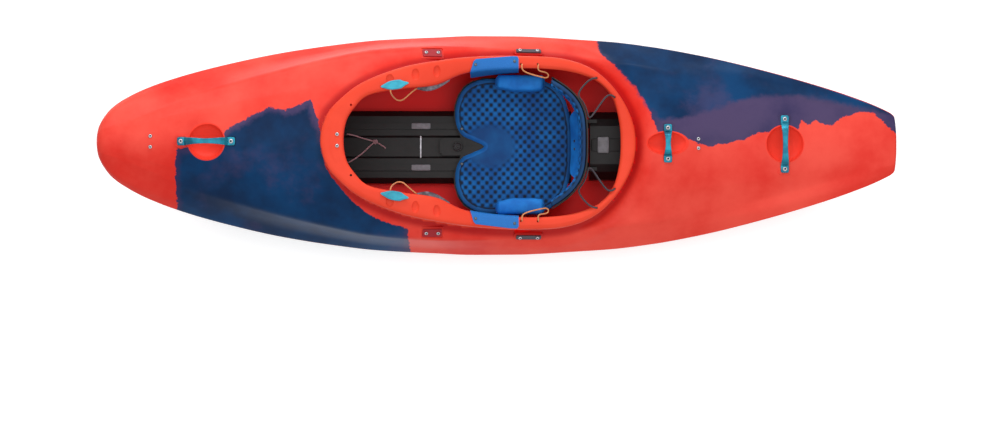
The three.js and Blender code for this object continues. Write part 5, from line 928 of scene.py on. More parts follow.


# Fasteners: stainless button-head bolts with a six-sided socket, drawn as a shallow round hollow
# painted near black as shade. The big ones hold the handles, the small ones the plates, bars,
# footrest rails and foam pillars.
def lathe(name, matrix, profile, count=28, uv=False):
    """A profile of (radius, height) pairs turned about a frame's Z axis, closed at both poles."""
    profile = np.array(profile, float)
    angle = np.arange(count) / count * 2 * np.pi
    ring = np.stack([np.cos(angle), np.sin(angle)], axis=1)
    rings = np.concatenate([profile[:, None, :1] * ring[None], np.broadcast_to(
        profile[:, None, 1:], (len(profile), count, 1))], axis=2)
    turn = np.asarray(matrix)
    return skin(name, rings @ turn[:3, :3].T + turn[:3, 3])


def arc_profile(points, radius, steps=4):
    """An open profile with its inner corners rounded by arcs (1-t)^2 a + 2t(1-t) corner + t^2 b."""
    points = np.array(points, float)
    made = [points[:1]]
    t = np.linspace(0, 1, steps + 1)[:, None]
    for a, corner, b in zip(points[:-2], points[1:-1], points[2:]):
        near = min(radius, 0.48 * np.linalg.norm(a - corner), 0.48 * np.linalg.norm(b - corner))
        start = corner + (a - corner) / np.linalg.norm(a - corner) * near
        end = corner + (b - corner) / np.linalg.norm(b - corner) * near
        made.append((1 - t) ** 2 * start + 2 * t * (1 - t) * corner + t * t * end)
    return np.vstack([*made, points[-1:]])


def stack_frame(origin, z, x=(1, 0, 0)):
    """A frame from its place, its Z axis and roughly its X axis."""
    z = np.array(z, float) / np.linalg.norm(z)
    y = np.cross(z, x)
    y /= np.linalg.norm(y)
    return frame_matrix([np.cross(y, z), y, z, origin])


material, shade = new_material("brushed_stainless")
place = shade.here("Object")
turned = shade.noise(900, 3, place, 0.6)
steel_colour = shade.blend(turned.over(0.3, 0.7), tint("#94969b"), tint("#c2c4c9"))
# Painted shade: the shallow socket in each head is painted near black, as a deep socket would lie in shade.
steel_colour = shade.blend(shade.attribute("in_socket"), steel_colour, tint("#16161a"))
shade.surface(Base_Color=steel_colour, Metallic=0.95, Roughness=0.24 + turned * 0.16,
              Normal=shade.bump(turned, 0.08, 0.0002))
steel = material


def socket_bolt(name, seat, radius, height, shank, length, node, body="hull"):
    """A button head over its seat, with a shallow socket painted dark as shade and a plain shank under it."""
    head = arc_profile([
        (0.0002, -length), (shank, -length), (shank, -0.0001), (radius * 0.96, 0), (radius, 0.00035),
        (radius * 0.97, height * 0.5), (radius * 0.74, height * 0.9), (radius * 0.52, height),
        (radius * 0.45, height * 0.96)], 0.0009, 3)
    bolt = lathe(name, seat, np.vstack([head, [[radius * 0.44, height * 0.4], [0.0002, height * 0.36]]]), 30)
    store(bolt.data, "in_socket", np.repeat(np.arange(len(head) + 2) >= len(head), 30))
    bolt.data.materials.append(steel)
    bolt.data.shade_smooth()
    bolt.data.set_sharp_from_angle(angle=0.7)
    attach(bolt, body)
    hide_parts(node)
    return bolt


for name, matrix in handle_frames.items():
    spacing = handle_sizes[name][0]
    labels = ("front", "rear") if name == "bow" else ("port", "starboard")
    for label, end in zip(labels, (-1, 1)):
        seat = slide(matrix, end * spacing / 2, 0, 0.0058)
        socket_bolt(f"{name}_button_bolt_{label}", seat, 0.0068, 0.0040, 0.003, 0.0155,
                    f"{name}_handle_bolt_{label}")
for label, side in (("port", -1), ("starboard", 1)):
    near = lambda matrix: matrix if side > 0 else mirrored(matrix)
    for stem, matrix, spacing, sink, thickness in (
            ("pocket_plate", pocket_frame, 0.035, 0.003, 0.003),
            ("side_bar", bar_frame, 0.052, 0.001, 0.004)):
        for i, end in enumerate((-1, 1), 1):
            seat = slide(near(matrix), end * spacing / 2, 0, thickness + 0.0008 - sink)
            socket_bolt(f"{stem}_button_bolt_{label}_{i}", seat, 0.0053, 0.0030, 0.0024, 0.0135,
                        f"{stem}_bolt_{label}_{i}")
    for i, (x, y) in enumerate(rail_bolt_places, 1):
        seat = stack_frame([x, side * (y + 0.0004), 0.116], [0, side, 0])
        socket_bolt(f"rail_button_bolt_{label}_{i}", seat, 0.0054, 0.0030, 0.0024, 0.0135,
                    f"rail_bolt_{label}_{i}")
    seat = stack_frame([-0.462, side * 0.0165, 0.405 + 0.0016], [0, 0, 1])
    socket_bolt(f"coaming_button_bolt_{label}", seat, 0.0054, 0.0030, 0.0024, 0.0135, f"coaming_bolt_{label}")
    for stem, x, y in (("bow", -1.003, 0.0155), ("stern", 0.580, 0.0135)):
        height = float(deck_height(np.array([x]), np.array([y]))[0])
        seat = stack_frame([x, side * y, height + 0.0006], [0.0, side * 0.06, 1])
        socket_bolt(f"{stem}_pillar_button_screw_{label}", seat, 0.0054, 0.0030, 0.0024, 0.0135,
                    f"{stem}_pillar_screw_{label}")


# Grab handles: forged aluminium bars, anodised turquoise. Each narrows to its waist and arches
# over its dish, with its edges eased and its two level ends bolted down.
material, shade = new_material("turquoise_anodising")
place = shade.here("Object")
streak = shade.noise(420, 3, place, 0.6)
patch = shade.noise(30, 3, place, 0.5)
anodised = shade.blend(patch.over(0.3, 0.7), tint("#07566e"), tint("#178299"))
shade.surface(Base_Color=anodised, Metallic=0.62, Roughness=0.30 + streak * 0.14,
              Normal=shade.bump(streak, 0.06, 0.0003))


def grab_handle(name, matrix, spacing, arch):
    """Sections of a flat bar carried along it: half width 12 - 4.5 sin(t pi/2) mm and rise
    arch (1 - (1 - min(1, 2t))^2), with t from 0 at the ends of the free span to 1 at its middle."""
    half, free = spacing / 2 + 0.011, spacing / 2 - 0.011
    x = np.concatenate([-half + np.array([0, 0.0006, 0.0018, 0.0044, 0.010, 0.016]),
                        np.linspace(-free, free, 61),
                        half - np.array([0.016, 0.010, 0.0044, 0.0018, 0.0006, 0])])
    t = np.clip(1 - np.abs(x) / free, 0, 1)
    rise = arch * (1 - (1 - np.minimum(1, 2 * t)) ** 2)
    width = 0.012 - 0.0045 * np.sin(t * np.pi / 2)
    from_end = np.clip((half - np.abs(x)) / 0.0060, 0, 1)
    width *= 0.80 + 0.20 * np.sqrt(1 - (1 - from_end) ** 2)
    width -= 0.0016 * (1 - np.clip((half - np.abs(x)) / 0.0016, 0, 1))
    thick = 0.005 * (0.72 + 0.28 * np.clip((half - np.abs(x)) / 0.0016, 0, 1))
    angle = np.arange(28) / 28 * 2 * np.pi
    power = 0.36
    u = np.sign(np.cos(angle)) * np.abs(np.cos(angle)) ** power
    v = np.sign(np.sin(angle)) * np.abs(np.sin(angle)) ** power
    slope = np.gradient(rise, x)
    lean = 1 / np.sqrt(1 + slope ** 2)
    rings = np.stack([
        x[:, None] - (slope * lean * thick / 2)[:, None] * v,
        width[:, None] * u,
        (rise + 0.0025)[:, None] + (lean * thick / 2)[:, None] * v], axis=2)
    turn = np.asarray(slide(matrix, 0, 0, 0.0004))
    return skin(name, rings @ turn[:3, :3].T + turn[:3, 3])


for name, matrix in handle_frames.items():
    bar = grab_handle(f"{name}_grab_bar", matrix, *handle_sizes[name])
    bar.data.materials.append(material)
    bar.data.shade_smooth()
    bar.data.set_sharp_from_angle(angle=0.9)
    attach(bar, "hull")
    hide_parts(f"{name}_handle")


# Deck plates and bars: a red moulded plate in each square pocket beside the thigh grips, and a
# dark coated metal bar behind it. Both are flat, with eased edges, and lie on seats in the deck.
def eased_plate(name, matrix, length, width, thickness, corner, lift):
    """A rounded rectangle carried up through its thickness, drawn in by 0.6 mm at both faces."""
    angle = np.arange(48) / 48 * 2 * np.pi + np.pi / 48
    way = np.stack([np.cos(angle), np.sin(angle)], axis=1)
    levels = [(0.0, 0.9), (0.0, 0.0006), (0.0006, 0.0), (thickness - 0.0006, 0.0), (thickness, 0.0006),
              (thickness, 0.9)]
    rings = []
    for z, draw in levels:
        if draw > 0.5:
            plan = way * 0.0002
        else:
            plan = np.sign(way) * (np.array([length, width]) / 2 - corner) + way * (corner - draw)
        rings.append(np.column_stack([plan, np.full(48, z + lift)]))
    turn = np.asarray(matrix)
    return skin(name, np.stack(rings) @ turn[:3, :3].T + turn[:3, 3])


plate_paint, shade = new_material("dark_red_moulding")
place = shade.here("Object")
speck = shade.noise(700, 3, place, 0.6)
shade.surface(Base_Color=shade.blend(speck.over(0.3, 0.7), tint("#8e1420"), tint("#a81c28")),
              Roughness=0.42 + speck * 0.16,
              Specular_IOR_Level=0.3, Normal=shade.bump(speck, 0.15, 0.0003))
bar_paint, shade = new_material("dark_coated_steel")
place = shade.here("Object")
speck = shade.noise(1100, 3, place, 0.6)
shade.surface(Base_Color=shade.blend(speck.over(0.3, 0.7), tint("#3a3438"), tint("#57505a")), Metallic=0.4,
              Roughness=0.36 + speck * 0.18, Normal=shade.bump(speck, 0.12, 0.0003))
for label, side in (("port", -1), ("starboard", 1)):
    near = lambda matrix: matrix if side > 0 else mirrored(matrix)
    for stem, matrix, sizes, sink, paint, slot in (
            ("pocket_plate", pocket_frame, (0.056, 0.026, 0.003, 0.0045), 0.003, plate_paint, "red_plastic"),
            ("side_bar", bar_frame, (0.074, 0.014, 0.004, 0.0028), 0.001, bar_paint, "bar_metal")):
        plate = eased_plate(f"{stem}_eased_{label}", near(matrix), *sizes, 0.0004 - sink)
        plate.data.materials.append(paint)
        plate.data.shade_smooth()
        plate.data.set_sharp_from_angle(angle=0.7)
        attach(plate, "hull")
        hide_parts(f"{stem}_{label}")


# Seat base: a black moulding that slides on the console's runners, with a tongue for the knob.
# Its top follows the paddler, and the pad and the knob sit on it.
PAN_MIDDLE, PAN_AHEAD, PAN_HALF_WIDTH = 0.060, 0.172, 0.203


def pan_top(x, y):
    """64.5 mm, plus 30 mm times the 2.4th power of the share across, plus the rises of the rear
    and the front edge."""
    across = np.minimum(1, np.abs(y) / PAN_HALF_WIDTH)
    rear = np.clip((x - PAN_MIDDLE) / 0.140, 0, 1)
    ahead = np.clip((PAN_MIDDLE - x) / PAN_AHEAD, 0, 1)
    return 0.0645 + 0.030 * across ** 2.4 + 0.016 * rear ** 2 + 0.014 * ahead ** 3 * np.minimum(1, 2 * across)


def moulded_black(name, low="#0c0a0b", high="#1a1617", rough=0.40, scale=260):
    """Black polyethylene with a fine leathery grain and a warm cast."""
    material, shade = new_material(name)
    place = shade.here("Object")
    grain = shade.noise(scale, 3, place, 0.55)
    fine = shade.noise(1500, 2, place, 0.5)
    colour = shade.blend(shade.noise(12, 4, place, 0.6).over(0.3, 0.7), tint(low), tint(high))
    normal = shade.bump(fine, 0.12, 0.0003, shade.bump(grain, 0.16, 0.0007))
    shade.surface(Base_Color=colour, Roughness=rough + grain * 0.14, Specular_IOR_Level=0.28, Normal=normal)
    return material


black_moulding = moulded_black("black_moulding")
for node in ("seat_base", "floor_console", "footrest_rail_port", "footrest_rail_starboard", "footrest_plate",
             "seat_tail", "backband_shell"):
    thing = bpy.data.objects[node]
    thing.data.materials.clear()
    thing.data.materials.append(black_moulding)

# Seat pad: closed-cell foam moulded in one piece with rows of round nubs, a smooth border and a
# smooth dished patch behind its notch. Two studs hold it.
PAD_OUTLINE = np.array([
    [-0.62, 0.00], [-0.80, 0.085], [-1.00, 0.17], [-1.10, 0.34], [-1.09, 0.62], [-0.95, 0.84],
    [-0.70, 0.96], [-0.30, 0.98], [0.20, 0.97], [0.61, 0.91], [0.88, 0.72], [1.02, 0.39], [1.05, 0.00]])
PAD_REAR = 0.147
NUB_PITCH, NUB_ROW, NUB_HEIGHT = 0.0125, 0.0136, 0.0042


def nub_height(u, v, pitch=NUB_PITCH, row=NUB_ROW):
    """Egg-crate relief from 0 to 1: half of 1 plus cos(pi u / pitch) cos(pi v / row), raised to a
    power under 1, so that the nubs stand close together round small hollows."""
    wave = 0.5 + 0.5 * np.cos(np.pi * u / pitch) * np.cos(np.pi * v / row)
    return wave ** 0.85


def foam_material(name, low, high, deep):
    """Blue foam with painted shade in the hollows between its nubs, and a fine closed-cell skin."""
    material, shade = new_material(name)
    place = shade.here("Object")
    relief = shade.attribute("relief")
    cells = shade.noise(1700, 2, place, 0.5)
    broad = shade.noise(14, 3, place, 0.5)
    top = shade.blend(broad.over(0.3, 0.7), tint(low), tint(high))
    # Painted shade: where the relief is low, between the nubs, the colour falls to the deep blue.
    colour = shade.blend(relief.over(0.10, 0.80), tint(deep), top)
    shade.surface(Base_Color=colour, Roughness=0.60 + cells * 0.18, Specular_IOR_Level=0.30,
                  Normal=shade.bump(cells, 0.22, 0.0004))
    return material


blue_foam = foam_material("nubbed_blue_foam", "#0b559f", "#1273c2", "#021a33")


def pad_outline(count):
    """The half outline's shares of the pan's reach and half width, mirrored and joined by a smooth
    closed curve through them."""
    half = np.stack([PAN_MIDDLE + PAD_OUTLINE[:, 0] * np.where(PAD_OUTLINE[:, 0] < 0, PAN_AHEAD, PAD_REAR),
                     PAD_OUTLINE[:, 1] * PAN_HALF_WIDTH, np.zeros(len(PAD_OUTLINE))], axis=1)
    return bezier_path(np.vstack([half, half[-2:0:-1] * [1, -1, 1]]), count, closed=True)[:, :2]


def seat_pad_rings():
    """Rings that shrink from the pad's outline to its middle, over and under: the top stands 13 mm
    over the pan less a quarter-round border, with the nubs added where they fade in."""
    outline = pad_outline(520)
    middle = np.array([PAN_MIDDLE, 0.0])
    shares = np.concatenate([[1.0, 0.9985, 0.995, 0.990, 0.984, 0.976, 0.966], np.linspace(0.955, 0.02, 118)])
    plan = middle + shares[:, None, None] * (outline - middle)
    x, y = plan[..., 0], plan[..., 1]
    inward = -plan_distance(plan.reshape(-1, 2), outline).reshape(x.shape)
    border = 1 - (1 - np.clip(inward / 0.016, 0, 1)) ** 2
    patch = smooth_step(np.hypot((x + 0.030) / 0.075, y / 0.062), 0.85, 1.25)
    nubs = nub_height(x, y) * smooth_step(inward, 0.010, 0.020) * patch
    rim = np.exp(-((inward - 0.006) / 0.005) ** 2) * 0.0012
    top = pan_top(x, y) + 0.001 + 0.0052 + 0.0042 * border + NUB_HEIGHT * nubs + rim
    top -= 0.0012 * (1 - patch)
    bottom = pan_top(x, y) + 0.001
    over = np.stack([x, y, top], axis=2)
    under_at = [0, 6, 20, 45, 80, 124]
    under = np.stack([x[under_at], y[under_at], bottom[under_at]], axis=2)
    rings = np.concatenate([over[::-1], under])
    # The relief also sets the foam's painted shade: lowest in the hollows between the nubs, mid-tone on the
    # smooth patch, the border and the underside.
    relief = np.concatenate([(0.50 * (1 - patch) + nubs + 0.55 * (inward < 0.012))[::-1],
                             np.full((6, 520), 0.5)])
    return rings, relief


rings, relief = seat_pad_rings()
seat_pad = skin("nubbed_seat_pad", rings)
count = rings.shape[0] * rings.shape[1]
values = np.full(len(seat_pad.data.vertices), 0.5)
values[:count] = relief.reshape(-1)
store(seat_pad.data, "relief", values)
seat_pad.data.materials.append(blue_foam)
seat_pad.data.shade_smooth()
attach(seat_pad, "seat")
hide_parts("seat_pad")


# Hip pads: soft blue foam blocks, moulded with round edges, strapped under the rim tabs at the
# sides of the seat. The pad's inner face is crowned to the hip.
def rounded_tube(section, places, ease):
    """A superellipse section |u|^n + |v|^n = 1 scaled along a path, drawn in to nothing at both
    ends by a quarter circle, so that the block closes in a round edge."""
    angle = np.arange(72) / 72 * 2 * np.pi
    u = np.sign(np.cos(angle)) * np.abs(np.cos(angle)) ** section
    v = np.sign(np.sin(angle)) * np.abs(np.sin(angle)) ** section
    share = places
    end = np.clip(np.minimum(share, 1 - share) / ease, 0, 1)
    return u, v, np.sqrt(1 - (1 - end) ** 2)


smooth_foam, shade = new_material("smooth_blue_foam")
place = shade.here("Object")
cells = shade.noise(1500, 2, place, 0.5)
dents = shade.noise(26, 3, place, 0.5)
colour = shade.blend(dents.over(0.3, 0.7), tint("#0f68bd"), tint("#1a80d6"))
shade.surface(Base_Color=colour, Roughness=0.62 + cells * 0.16, Specular_IOR_Level=0.3,
              Normal=shade.bump(cells, 0.22, 0.0004, shade.bump(dents, 0.2, 0.003)))
for label, side in (("port", -1), ("starboard", 1)):
    low, high = (np.array(v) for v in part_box(f"hip_pad_{label}"))
    share = np.unique(np.concatenate([np.linspace(0, 0.12, 14), np.linspace(0.12, 0.88, 50),
                                      np.linspace(0.88, 1, 14)]))
    u, v, swell = rounded_tube(0.42, share, 0.10)
    middle, half = (low + high) / 2, (high - low) / 2 - 0.0006
    swell = np.maximum(swell, 0.02)
    x = low[0] + 0.0006 + (high[0] - low[0] + 0.0080) * share
    across = middle[1] + half[1] * swell[:, None] * u
    taper = (0.50 * (1 - smooth_step(share, -0.05, 0.42))[:, None]
             + 0.16 * smooth_step(share, 0.70, 1.0)[:, None])
    across = np.where(side * u < 0, middle[1] + (across - middle[1]) * (1 - taper) - side * 0.004
                      * swell[:, None], across)
    height = middle[2] + half[2] * swell[:, None] * v * (1 - 0.10 * np.abs(u))
    rings = np.stack([np.broadcast_to(x[:, None], across.shape), across, height], axis=2)
    pad = skin(f"moulded_hip_pad_{label}", rings)
    pad.data.materials.append(smooth_foam)
    pad.data.shade_smooth()
    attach(pad, "hull")
    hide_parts(f"hip_pad_{label}")


# Rim tabs: blue coated webbing, folded over the inner edge of the coaming, with two dark studs
# a side. The upper leaf lies on the rim, and the lower one hangs behind the hip pad.
webbing, shade = new_material("blue_coated_webbing")
weave_u, weave_v = shade.attribute("along"), shade.attribute("down")
rib = (weave_v * 2600).math("SINE") * (weave_u * 2600).math("SINE")
shine = shade.noise(60, 3, shade.here("Object"), 0.6)
colour = shade.blend(rib.over(-0.8, 0.9), tint("#0c58a6"), tint("#1b7ccc"))
shade.surface(Base_Color=colour, Roughness=0.46 + shine * 0.2, Specular_IOR_Level=0.4,
              Normal=shade.bump(rib, 0.25, 0.0003))


TAB_EDGE, TAB_SLOPE = ((471.5 - 499.5) * PIXEL, (142 - 60.0) * PIXEL), (60.0 - 54.6) / (517.5 - 471.5)


def rim_tab(label, side):
    """A strip profile, over the rim and down inside it, carried along the coaming between two
    places of its outline. Its outer edge is straight, and its corners are rounded by pulling the
    ends of its leaves back."""
    lip, inward, width = rim_places(1600)
    x_edge = lip[:, 0] + inward[:, 0] * width
    half = (lip[:, 1] > 0) & (x_edge > -0.0845) & (x_edge < 0.0595)
    take = np.where(half)[0][::2]
    lip, inward, width = lip[take], inward[take], width[take]
    (x_0, y_0), slope = TAB_EDGE, TAB_SLOPE
    to_edge = (y_0 + slope * (lip[:, 0] - x_0) - lip[:, 1]) / (inward[:, 1] - slope * inward[:, 0])
    n = len(take)
    share = np.arange(n) / (n - 1)
    end = np.sqrt(1 - (1 - np.clip(np.minimum(share, 1 - share) / 0.04, 0, 1)) ** 2)
    reach, low = width - np.maximum(to_edge, 0.002) - 0.006 * (1 - end), 0.150 + 0.020 * (1 - end)
    top = lip[:, 2]
    g, c = 0.0010, 0.0026
    ones = np.ones(n)
    path = [(width - reach, top + g + 0.0002), (width - reach + 0.001, top + g + c),
            (width - 0.020, top + g + c),
            (width - 0.008, top + g + c), (width - 0.0008, top + g + c - 0.0016),
            (width + g + c, top - 0.0060),
            (width + g + c, top - 0.020), (width + g + c, (top + low) / 2), (width + g + c, low),
            (width + g, low), (width + g, (top + low) / 2), (width + g, top - 0.020),
            (width + g, top - 0.0065),
            (width - 0.0030, top - 0.0002 + g), (width - 0.009, top + g + 0.0002),
            (width - 0.020, top + g + 0.0002)]
    profile = np.stack([np.stack([a * ones, b * ones], axis=1) for a, b in path], axis=1)
    profile = round_profile(profile, np.array([1, 1, 4, 5, 4, 5, 4, 4, 0.6, 0.6, 4, 4, 3, 3, 4, 4]) / 1000, 2)
    plan = lip[:, None, :2] + inward[:, None, :] * profile[..., :1]
    rings = np.concatenate([plan, profile[..., 1:]], axis=2) * [1, side, 1]
    tab = skin(f"folded_tab_{label}", rings)
    along = np.repeat(share * 0.146, profile.shape[1])
    down = np.tile(np.concatenate([[0], np.linalg.norm(np.diff(profile[n // 2], axis=0), axis=1).cumsum()]),
                   n)
    store(tab.data, "along", along)
    store(tab.data, "down", down)
    return tab


stud_paint, shade = new_material("black_nickel_stud")
fine = shade.noise(800, 3, shade.here("Object"), 0.6)
shade.surface(Base_Color=shade.blend(fine.over(0.3, 0.7), tint("#23262c"), tint("#6a7078")), Metallic=0.75,
              Roughness=0.26 + fine * 0.15)
for label, side in (("port", -1), ("starboard", 1)):
    tab = rim_tab(label, side)
    tab.data.materials.append(webbing)
    tab.data.shade_smooth()
    tab.data.set_sharp_from_angle(angle=0.9)
    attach(tab, "hull")
    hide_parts(f"rim_tab_{label}")
    for k, stud_x in enumerate(((475.5 - 499.5) * PIXEL, (514.3 - 499.5) * PIXEL), 1):
        lip, inward, width = rim_places(1600)
        off = np.abs(lip[:, 0] + inward[:, 0] * (width - 0.020) - stud_x)
        i = int(np.argmin(np.where(lip[:, 1] > 0, off, 9)))
        spot = lip[i, :2] + inward[i] * (width[i] - 0.020)
        seat = stack_frame([spot[0], side * spot[1], lip[i, 2] + 0.0038], [0, 0, 1])
        stud = lathe(f"tab_stud_{label}_{k}", seat, [
            (0.0002, -0.001), (0.0044, -0.001), (0.0046, 0.0006), (0.0040, 0.0016), (0.0026, 0.0021),
            (0.0002, 0.0023)], 26)
        stud.data.materials.append(stud_paint)
        stud.data.shade_smooth()
        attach(stud, "hull")


# Seat studs: two dark snap studs hold the pad's front lobes to the seat.
for label, side in (("port", -1), ("starboard", 1)):
    x, y = (460.6 - 499.5) * PIXEL, side * 0.0525
    height = float(pan_top(np.array([x]), np.array([y]))[0]) + 0.0098
    stud = lathe(f"seat_stud_{label}", stack_frame([x, y, height], [0, 0, 1]), [
        (0.0002, -0.002), (0.0050, -0.002), (0.0052, 0.0006), (0.0044, 0.0018), (0.0028, 0.0024),
        (0.0002, 0.0026)], 26)
    stud.data.materials.append(stud_paint)
    stud.data.shade_smooth()
    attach(stud, "seat")


# Backband: a curved foam pad on a black plastic shell that wraps the paddler's back. It tips on
# two pins in the seat's tail, and the pad's front carries rows of nubs.
BAND_X, BAND_SWEEP, BAND_HALF_WIDTH = 0.256, 0.104, 0.192
BAND_BOTTOM, BAND_TIP_RISE, BAND_TOP, BAND_TIP_DROP = 0.158, 0.064, 0.306, 0.042


def band_curve(share):
    """x = 256 - 104 |s|^3.4 mm and y = 192 s mm, with the bottom at 158 + 64 |s|^1.6 and the top
    at 306 - 42 |s|^3, for s from -1 to 1."""
    a = np.abs(share)
    return (BAND_X - BAND_SWEEP * a ** 3.4, share * BAND_HALF_WIDTH,
            BAND_BOTTOM + BAND_TIP_RISE * a ** 1.6, BAND_TOP - BAND_TIP_DROP * a ** 3)


def band_solid(name, front, back, trim, nubs):
    """Sections across the band's thickness carried round its curve: rounded at the top, the bottom
    and the two tips, with nubs on the front face where they are asked for."""
    angle = np.linspace(-np.pi / 2, np.pi / 2, 261)
    share = np.sin(angle) * (1 - trim / BAND_HALF_WIDTH)
    x, y, bottom, top = band_curve(share)
    ahead, behind = band_curve(np.minimum(1, share + 0.004)), band_curve(np.maximum(-1, share - 0.004))
    out = np.stack([-(ahead[1] - behind[1]), ahead[0] - behind[0]], axis=1)
    out /= np.linalg.norm(out, axis=1)[:, None]
    end = np.sqrt(1 - (1 - np.clip((1 - np.abs(np.sin(angle))) * 26, 0, 1)) ** 2)
    end = np.maximum(end, 0.03)
    rise = np.linspace(0, 1, 44)
    low, high = bottom + trim, top - trim
    middle, half = (low + high) / 2, (high - low) / 2 * (0.86 + 0.14 * end)
    front_v = 1 - 2 * rise
    quarter = np.sqrt(np.clip(1 - np.abs(front_v) ** 7, 0, 1))
    thickness = (front - back)
    dist_front = back + thickness * (0.30 + 0.70 * quarter[None, :]) * (0.35 + 0.65 * end[:, None])
    z_front = middle[:, None] - half[:, None] * front_v[None, :]
    arc = np.concatenate([[0], np.hypot(np.diff(x), np.diff(y)).cumsum()])
    relief = np.zeros_like(dist_front)
    if nubs:
        fade = (smooth_step(1 - np.abs(front_v), 0.05, 0.16)[None, :]
                * smooth_step(1 - np.abs(np.sin(angle)), 0.006, 0.02)[:, None])
        relief = nub_height((arc - arc[130])[:, None] + 0 * z_front, z_front - 0.232) * fade
        dist_front = dist_front - 0.0035 + 0.0042 * relief
    back_v = np.linspace(-1, 1, 16)
    z_back = middle[:, None] + half[:, None] * 0.97 * -back_v[None, :]
    dist_back = back + thickness * 0.10 * np.abs(back_v)[None, :] ** 6 + 0 * z_back
    distance = np.concatenate([dist_front, dist_back], axis=1)
    z = np.concatenate([z_front, z_back], axis=1)
    rings = np.stack([x[:, None] + out[:, :1] * distance, y[:, None] + out[:, 1:] * distance, z], axis=2)
    made = skin(name, rings)
    relief = np.concatenate([relief, np.full(z_back.shape, 0.4)], axis=1).reshape(-1)
    if nubs:
        values = np.full(len(made.data.vertices), 0.5)
        # The relief also sets the foam's painted shade, darkest in the hollows between the nubs.
        values[:relief.size] = relief + 0.3 * (relief < 0.01)
        store(made.data, "relief", values)
    return made


band_pad = band_solid("nubbed_backband_pad", 0.0250, 0.0056, 0.002, True)
band_pad.data.materials.append(blue_foam)
band_pad.data.shade_smooth()
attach(band_pad, "backband")
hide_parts("backband_pad")


# Backband skirt: a thin smooth flap of the same foam that hangs from the band's lower edge and
# closes the gap behind the seat pad. Two snap studs hold it to the band.
def skirt_rings():
    """A strip 5 mm thick along the band's curve, for |s| up to 0.56: it leans forward from the
    band's lower edge to 130 mm high, and its lower corners are rounded by shortening its ends."""
    share = np.linspace(-0.56, 0.56, 121)
    x, y, bottom, _ = band_curve(share)
    out = np.stack([-np.gradient(y), np.gradient(x)], axis=1)
    out /= np.linalg.norm(out, axis=1)[:, None]
    end = np.sqrt(np.clip(1 - np.abs(share / 0.56) ** 8, 0.02, 1))
    fall = np.concatenate([np.linspace(0, 1, 14), np.linspace(1, 0, 14)])
    side = np.concatenate([np.full(14, 1.0), np.full(14, -1.0)])
    side[[12, 13, 14, 15]] = [0.85, 0.4, -0.4, -0.85]
    reach = 0.0215 + 0.024 * fall[None, :] * end[:, None]
    drop = ((bottom + 0.010)[:, None]
            + (0.131 + 0.018 * (share / 0.56) ** 2 - bottom - 0.010)[:, None] * fall * end[:, None])
    reach = reach + 0.0025 * side * 0.85
    drop = drop + 0.0025 * side * 0.5
    return np.stack([x[:, None] + out[:, :1] * reach, y[:, None] + out[:, 1:] * reach, drop], axis=2)


skirt = skin("backband_skirt", skirt_rings())
skirt.data.materials.append(smooth_foam)
skirt.data.shade_smooth()
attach(skirt, "backband")
for label, side in (("port", -1), ("starboard", 1)):
    stud = lathe(f"skirt_stud_{label}", stack_frame([0.2215, side * 0.012, 0.1500], [-0.85, 0, 0.5]), [
        (0.0002, -0.001), (0.0048, -0.001), (0.0050, 0.0006), (0.0042, 0.0017), (0.0026, 0.0022),
        (0.0002, 0.0024)], 26)
    stud.data.materials.append(stud_paint)
    stud.data.shade_smooth()
    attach(stud, "backband")


# Seat knob: a round black grip on a screw, turned by hand to lock the seat to the console.
def fluted_knob(name, x, base, radius, height):
    """A lathe profile whose radius is cut by r (1 - 0.035 (1 + cos 9a)) on the grip's side, with a
    bead round the top and a dished face."""
    angle = np.arange(144) / 144 * 2 * np.pi
    profile = np.array([[0.02, 0.00], [0.86, 0.00], [0.97, 0.06], [1.00, 0.16], [1.00, 0.74], [0.97, 0.88],
                        [0.90, 0.97], [0.80, 1.00], [0.70, 0.97], [0.64, 0.88], [0.60, 0.84], [0.30, 0.82],
                        [0.26, 0.90], [0.20, 0.93], [0.02, 0.94]])
    flute = 1 - 0.035 * (1 + np.cos(9 * angle))[None, :] * ((profile[:, :1] > 0.9) & (profile[:, 1:] < 0.9))
    r = radius * profile[:, :1] * flute
    rings = np.stack([x + r * np.cos(angle), r * np.sin(angle), base + height * profile[:, 1:] + 0 * r],
                     axis=2)
    return skin(name, rings)


knob_black = moulded_black("knob_black", "#171416", "#2b2729", 0.34, 420)
knob = fluted_knob("fluted_seat_knob", -0.124, 0.0667, 0.014, 0.0116)
knob.data.materials.append(knob_black)
knob.data.shade_smooth()
knob.data.set_sharp_from_angle(angle=0.8)
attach(knob, "seat_knob")
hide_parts("seat_knob")


# Console and tail fittings: two grey patches on the runners and a narrow bright strip on the panel
# between them, all three a painted reflection of a softbox, and a buckled strap on the tail.
def rounded_slab(name, low, high, edge):
    """A rounded rectangle, x and y from superellipses of power 10, with eased upper edges."""
    angle = np.arange(96) / 96 * 2 * np.pi
    u = np.sign(np.cos(angle)) * np.abs(np.cos(angle)) ** 0.2
    v = np.sign(np.sin(angle)) * np.abs(np.sin(angle)) ** 0.2
    middle, half = (np.array(low) + high) / 2, (np.array(high) - low) / 2
    rings = [(0.0, low[2]), (1.0 - 0.01, low[2]), (1.0, low[2] + (high[2] - low[2]) * 0.5),
             (1.0 - edge / half[1] * 0.4, high[2] - edge * 0.15), (1.0 - edge / half[1], high[2]),
             (0.0, high[2])]
    rings = [np.stack([middle[0] + half[0] * np.maximum(s, 0.02) * u,
                       middle[1] + half[1] * np.maximum(s, 0.02) * v,
                       np.full(96, z)], axis=1) for s, z in rings]
    return skin(name, rings)


def satin_grey(name, low, high, rough, metal=0.0):
    """Grey plastic or metal with fine scuffs."""
    material, shade = new_material(name)
    place = shade.here("Object")
    scuff = shade.noise(70, 4, place, 0.55)
    fine = shade.noise(1300, 2, place, 0.5)
    colour = shade.blend(scuff.over(0.32, 0.68), tint(low), tint(high))
    shade.surface(Base_Color=colour, Roughness=rough + scuff * 0.18, Metallic=metal,
                  Normal=shade.bump(fine, 0.15, 0.0003))
    return material


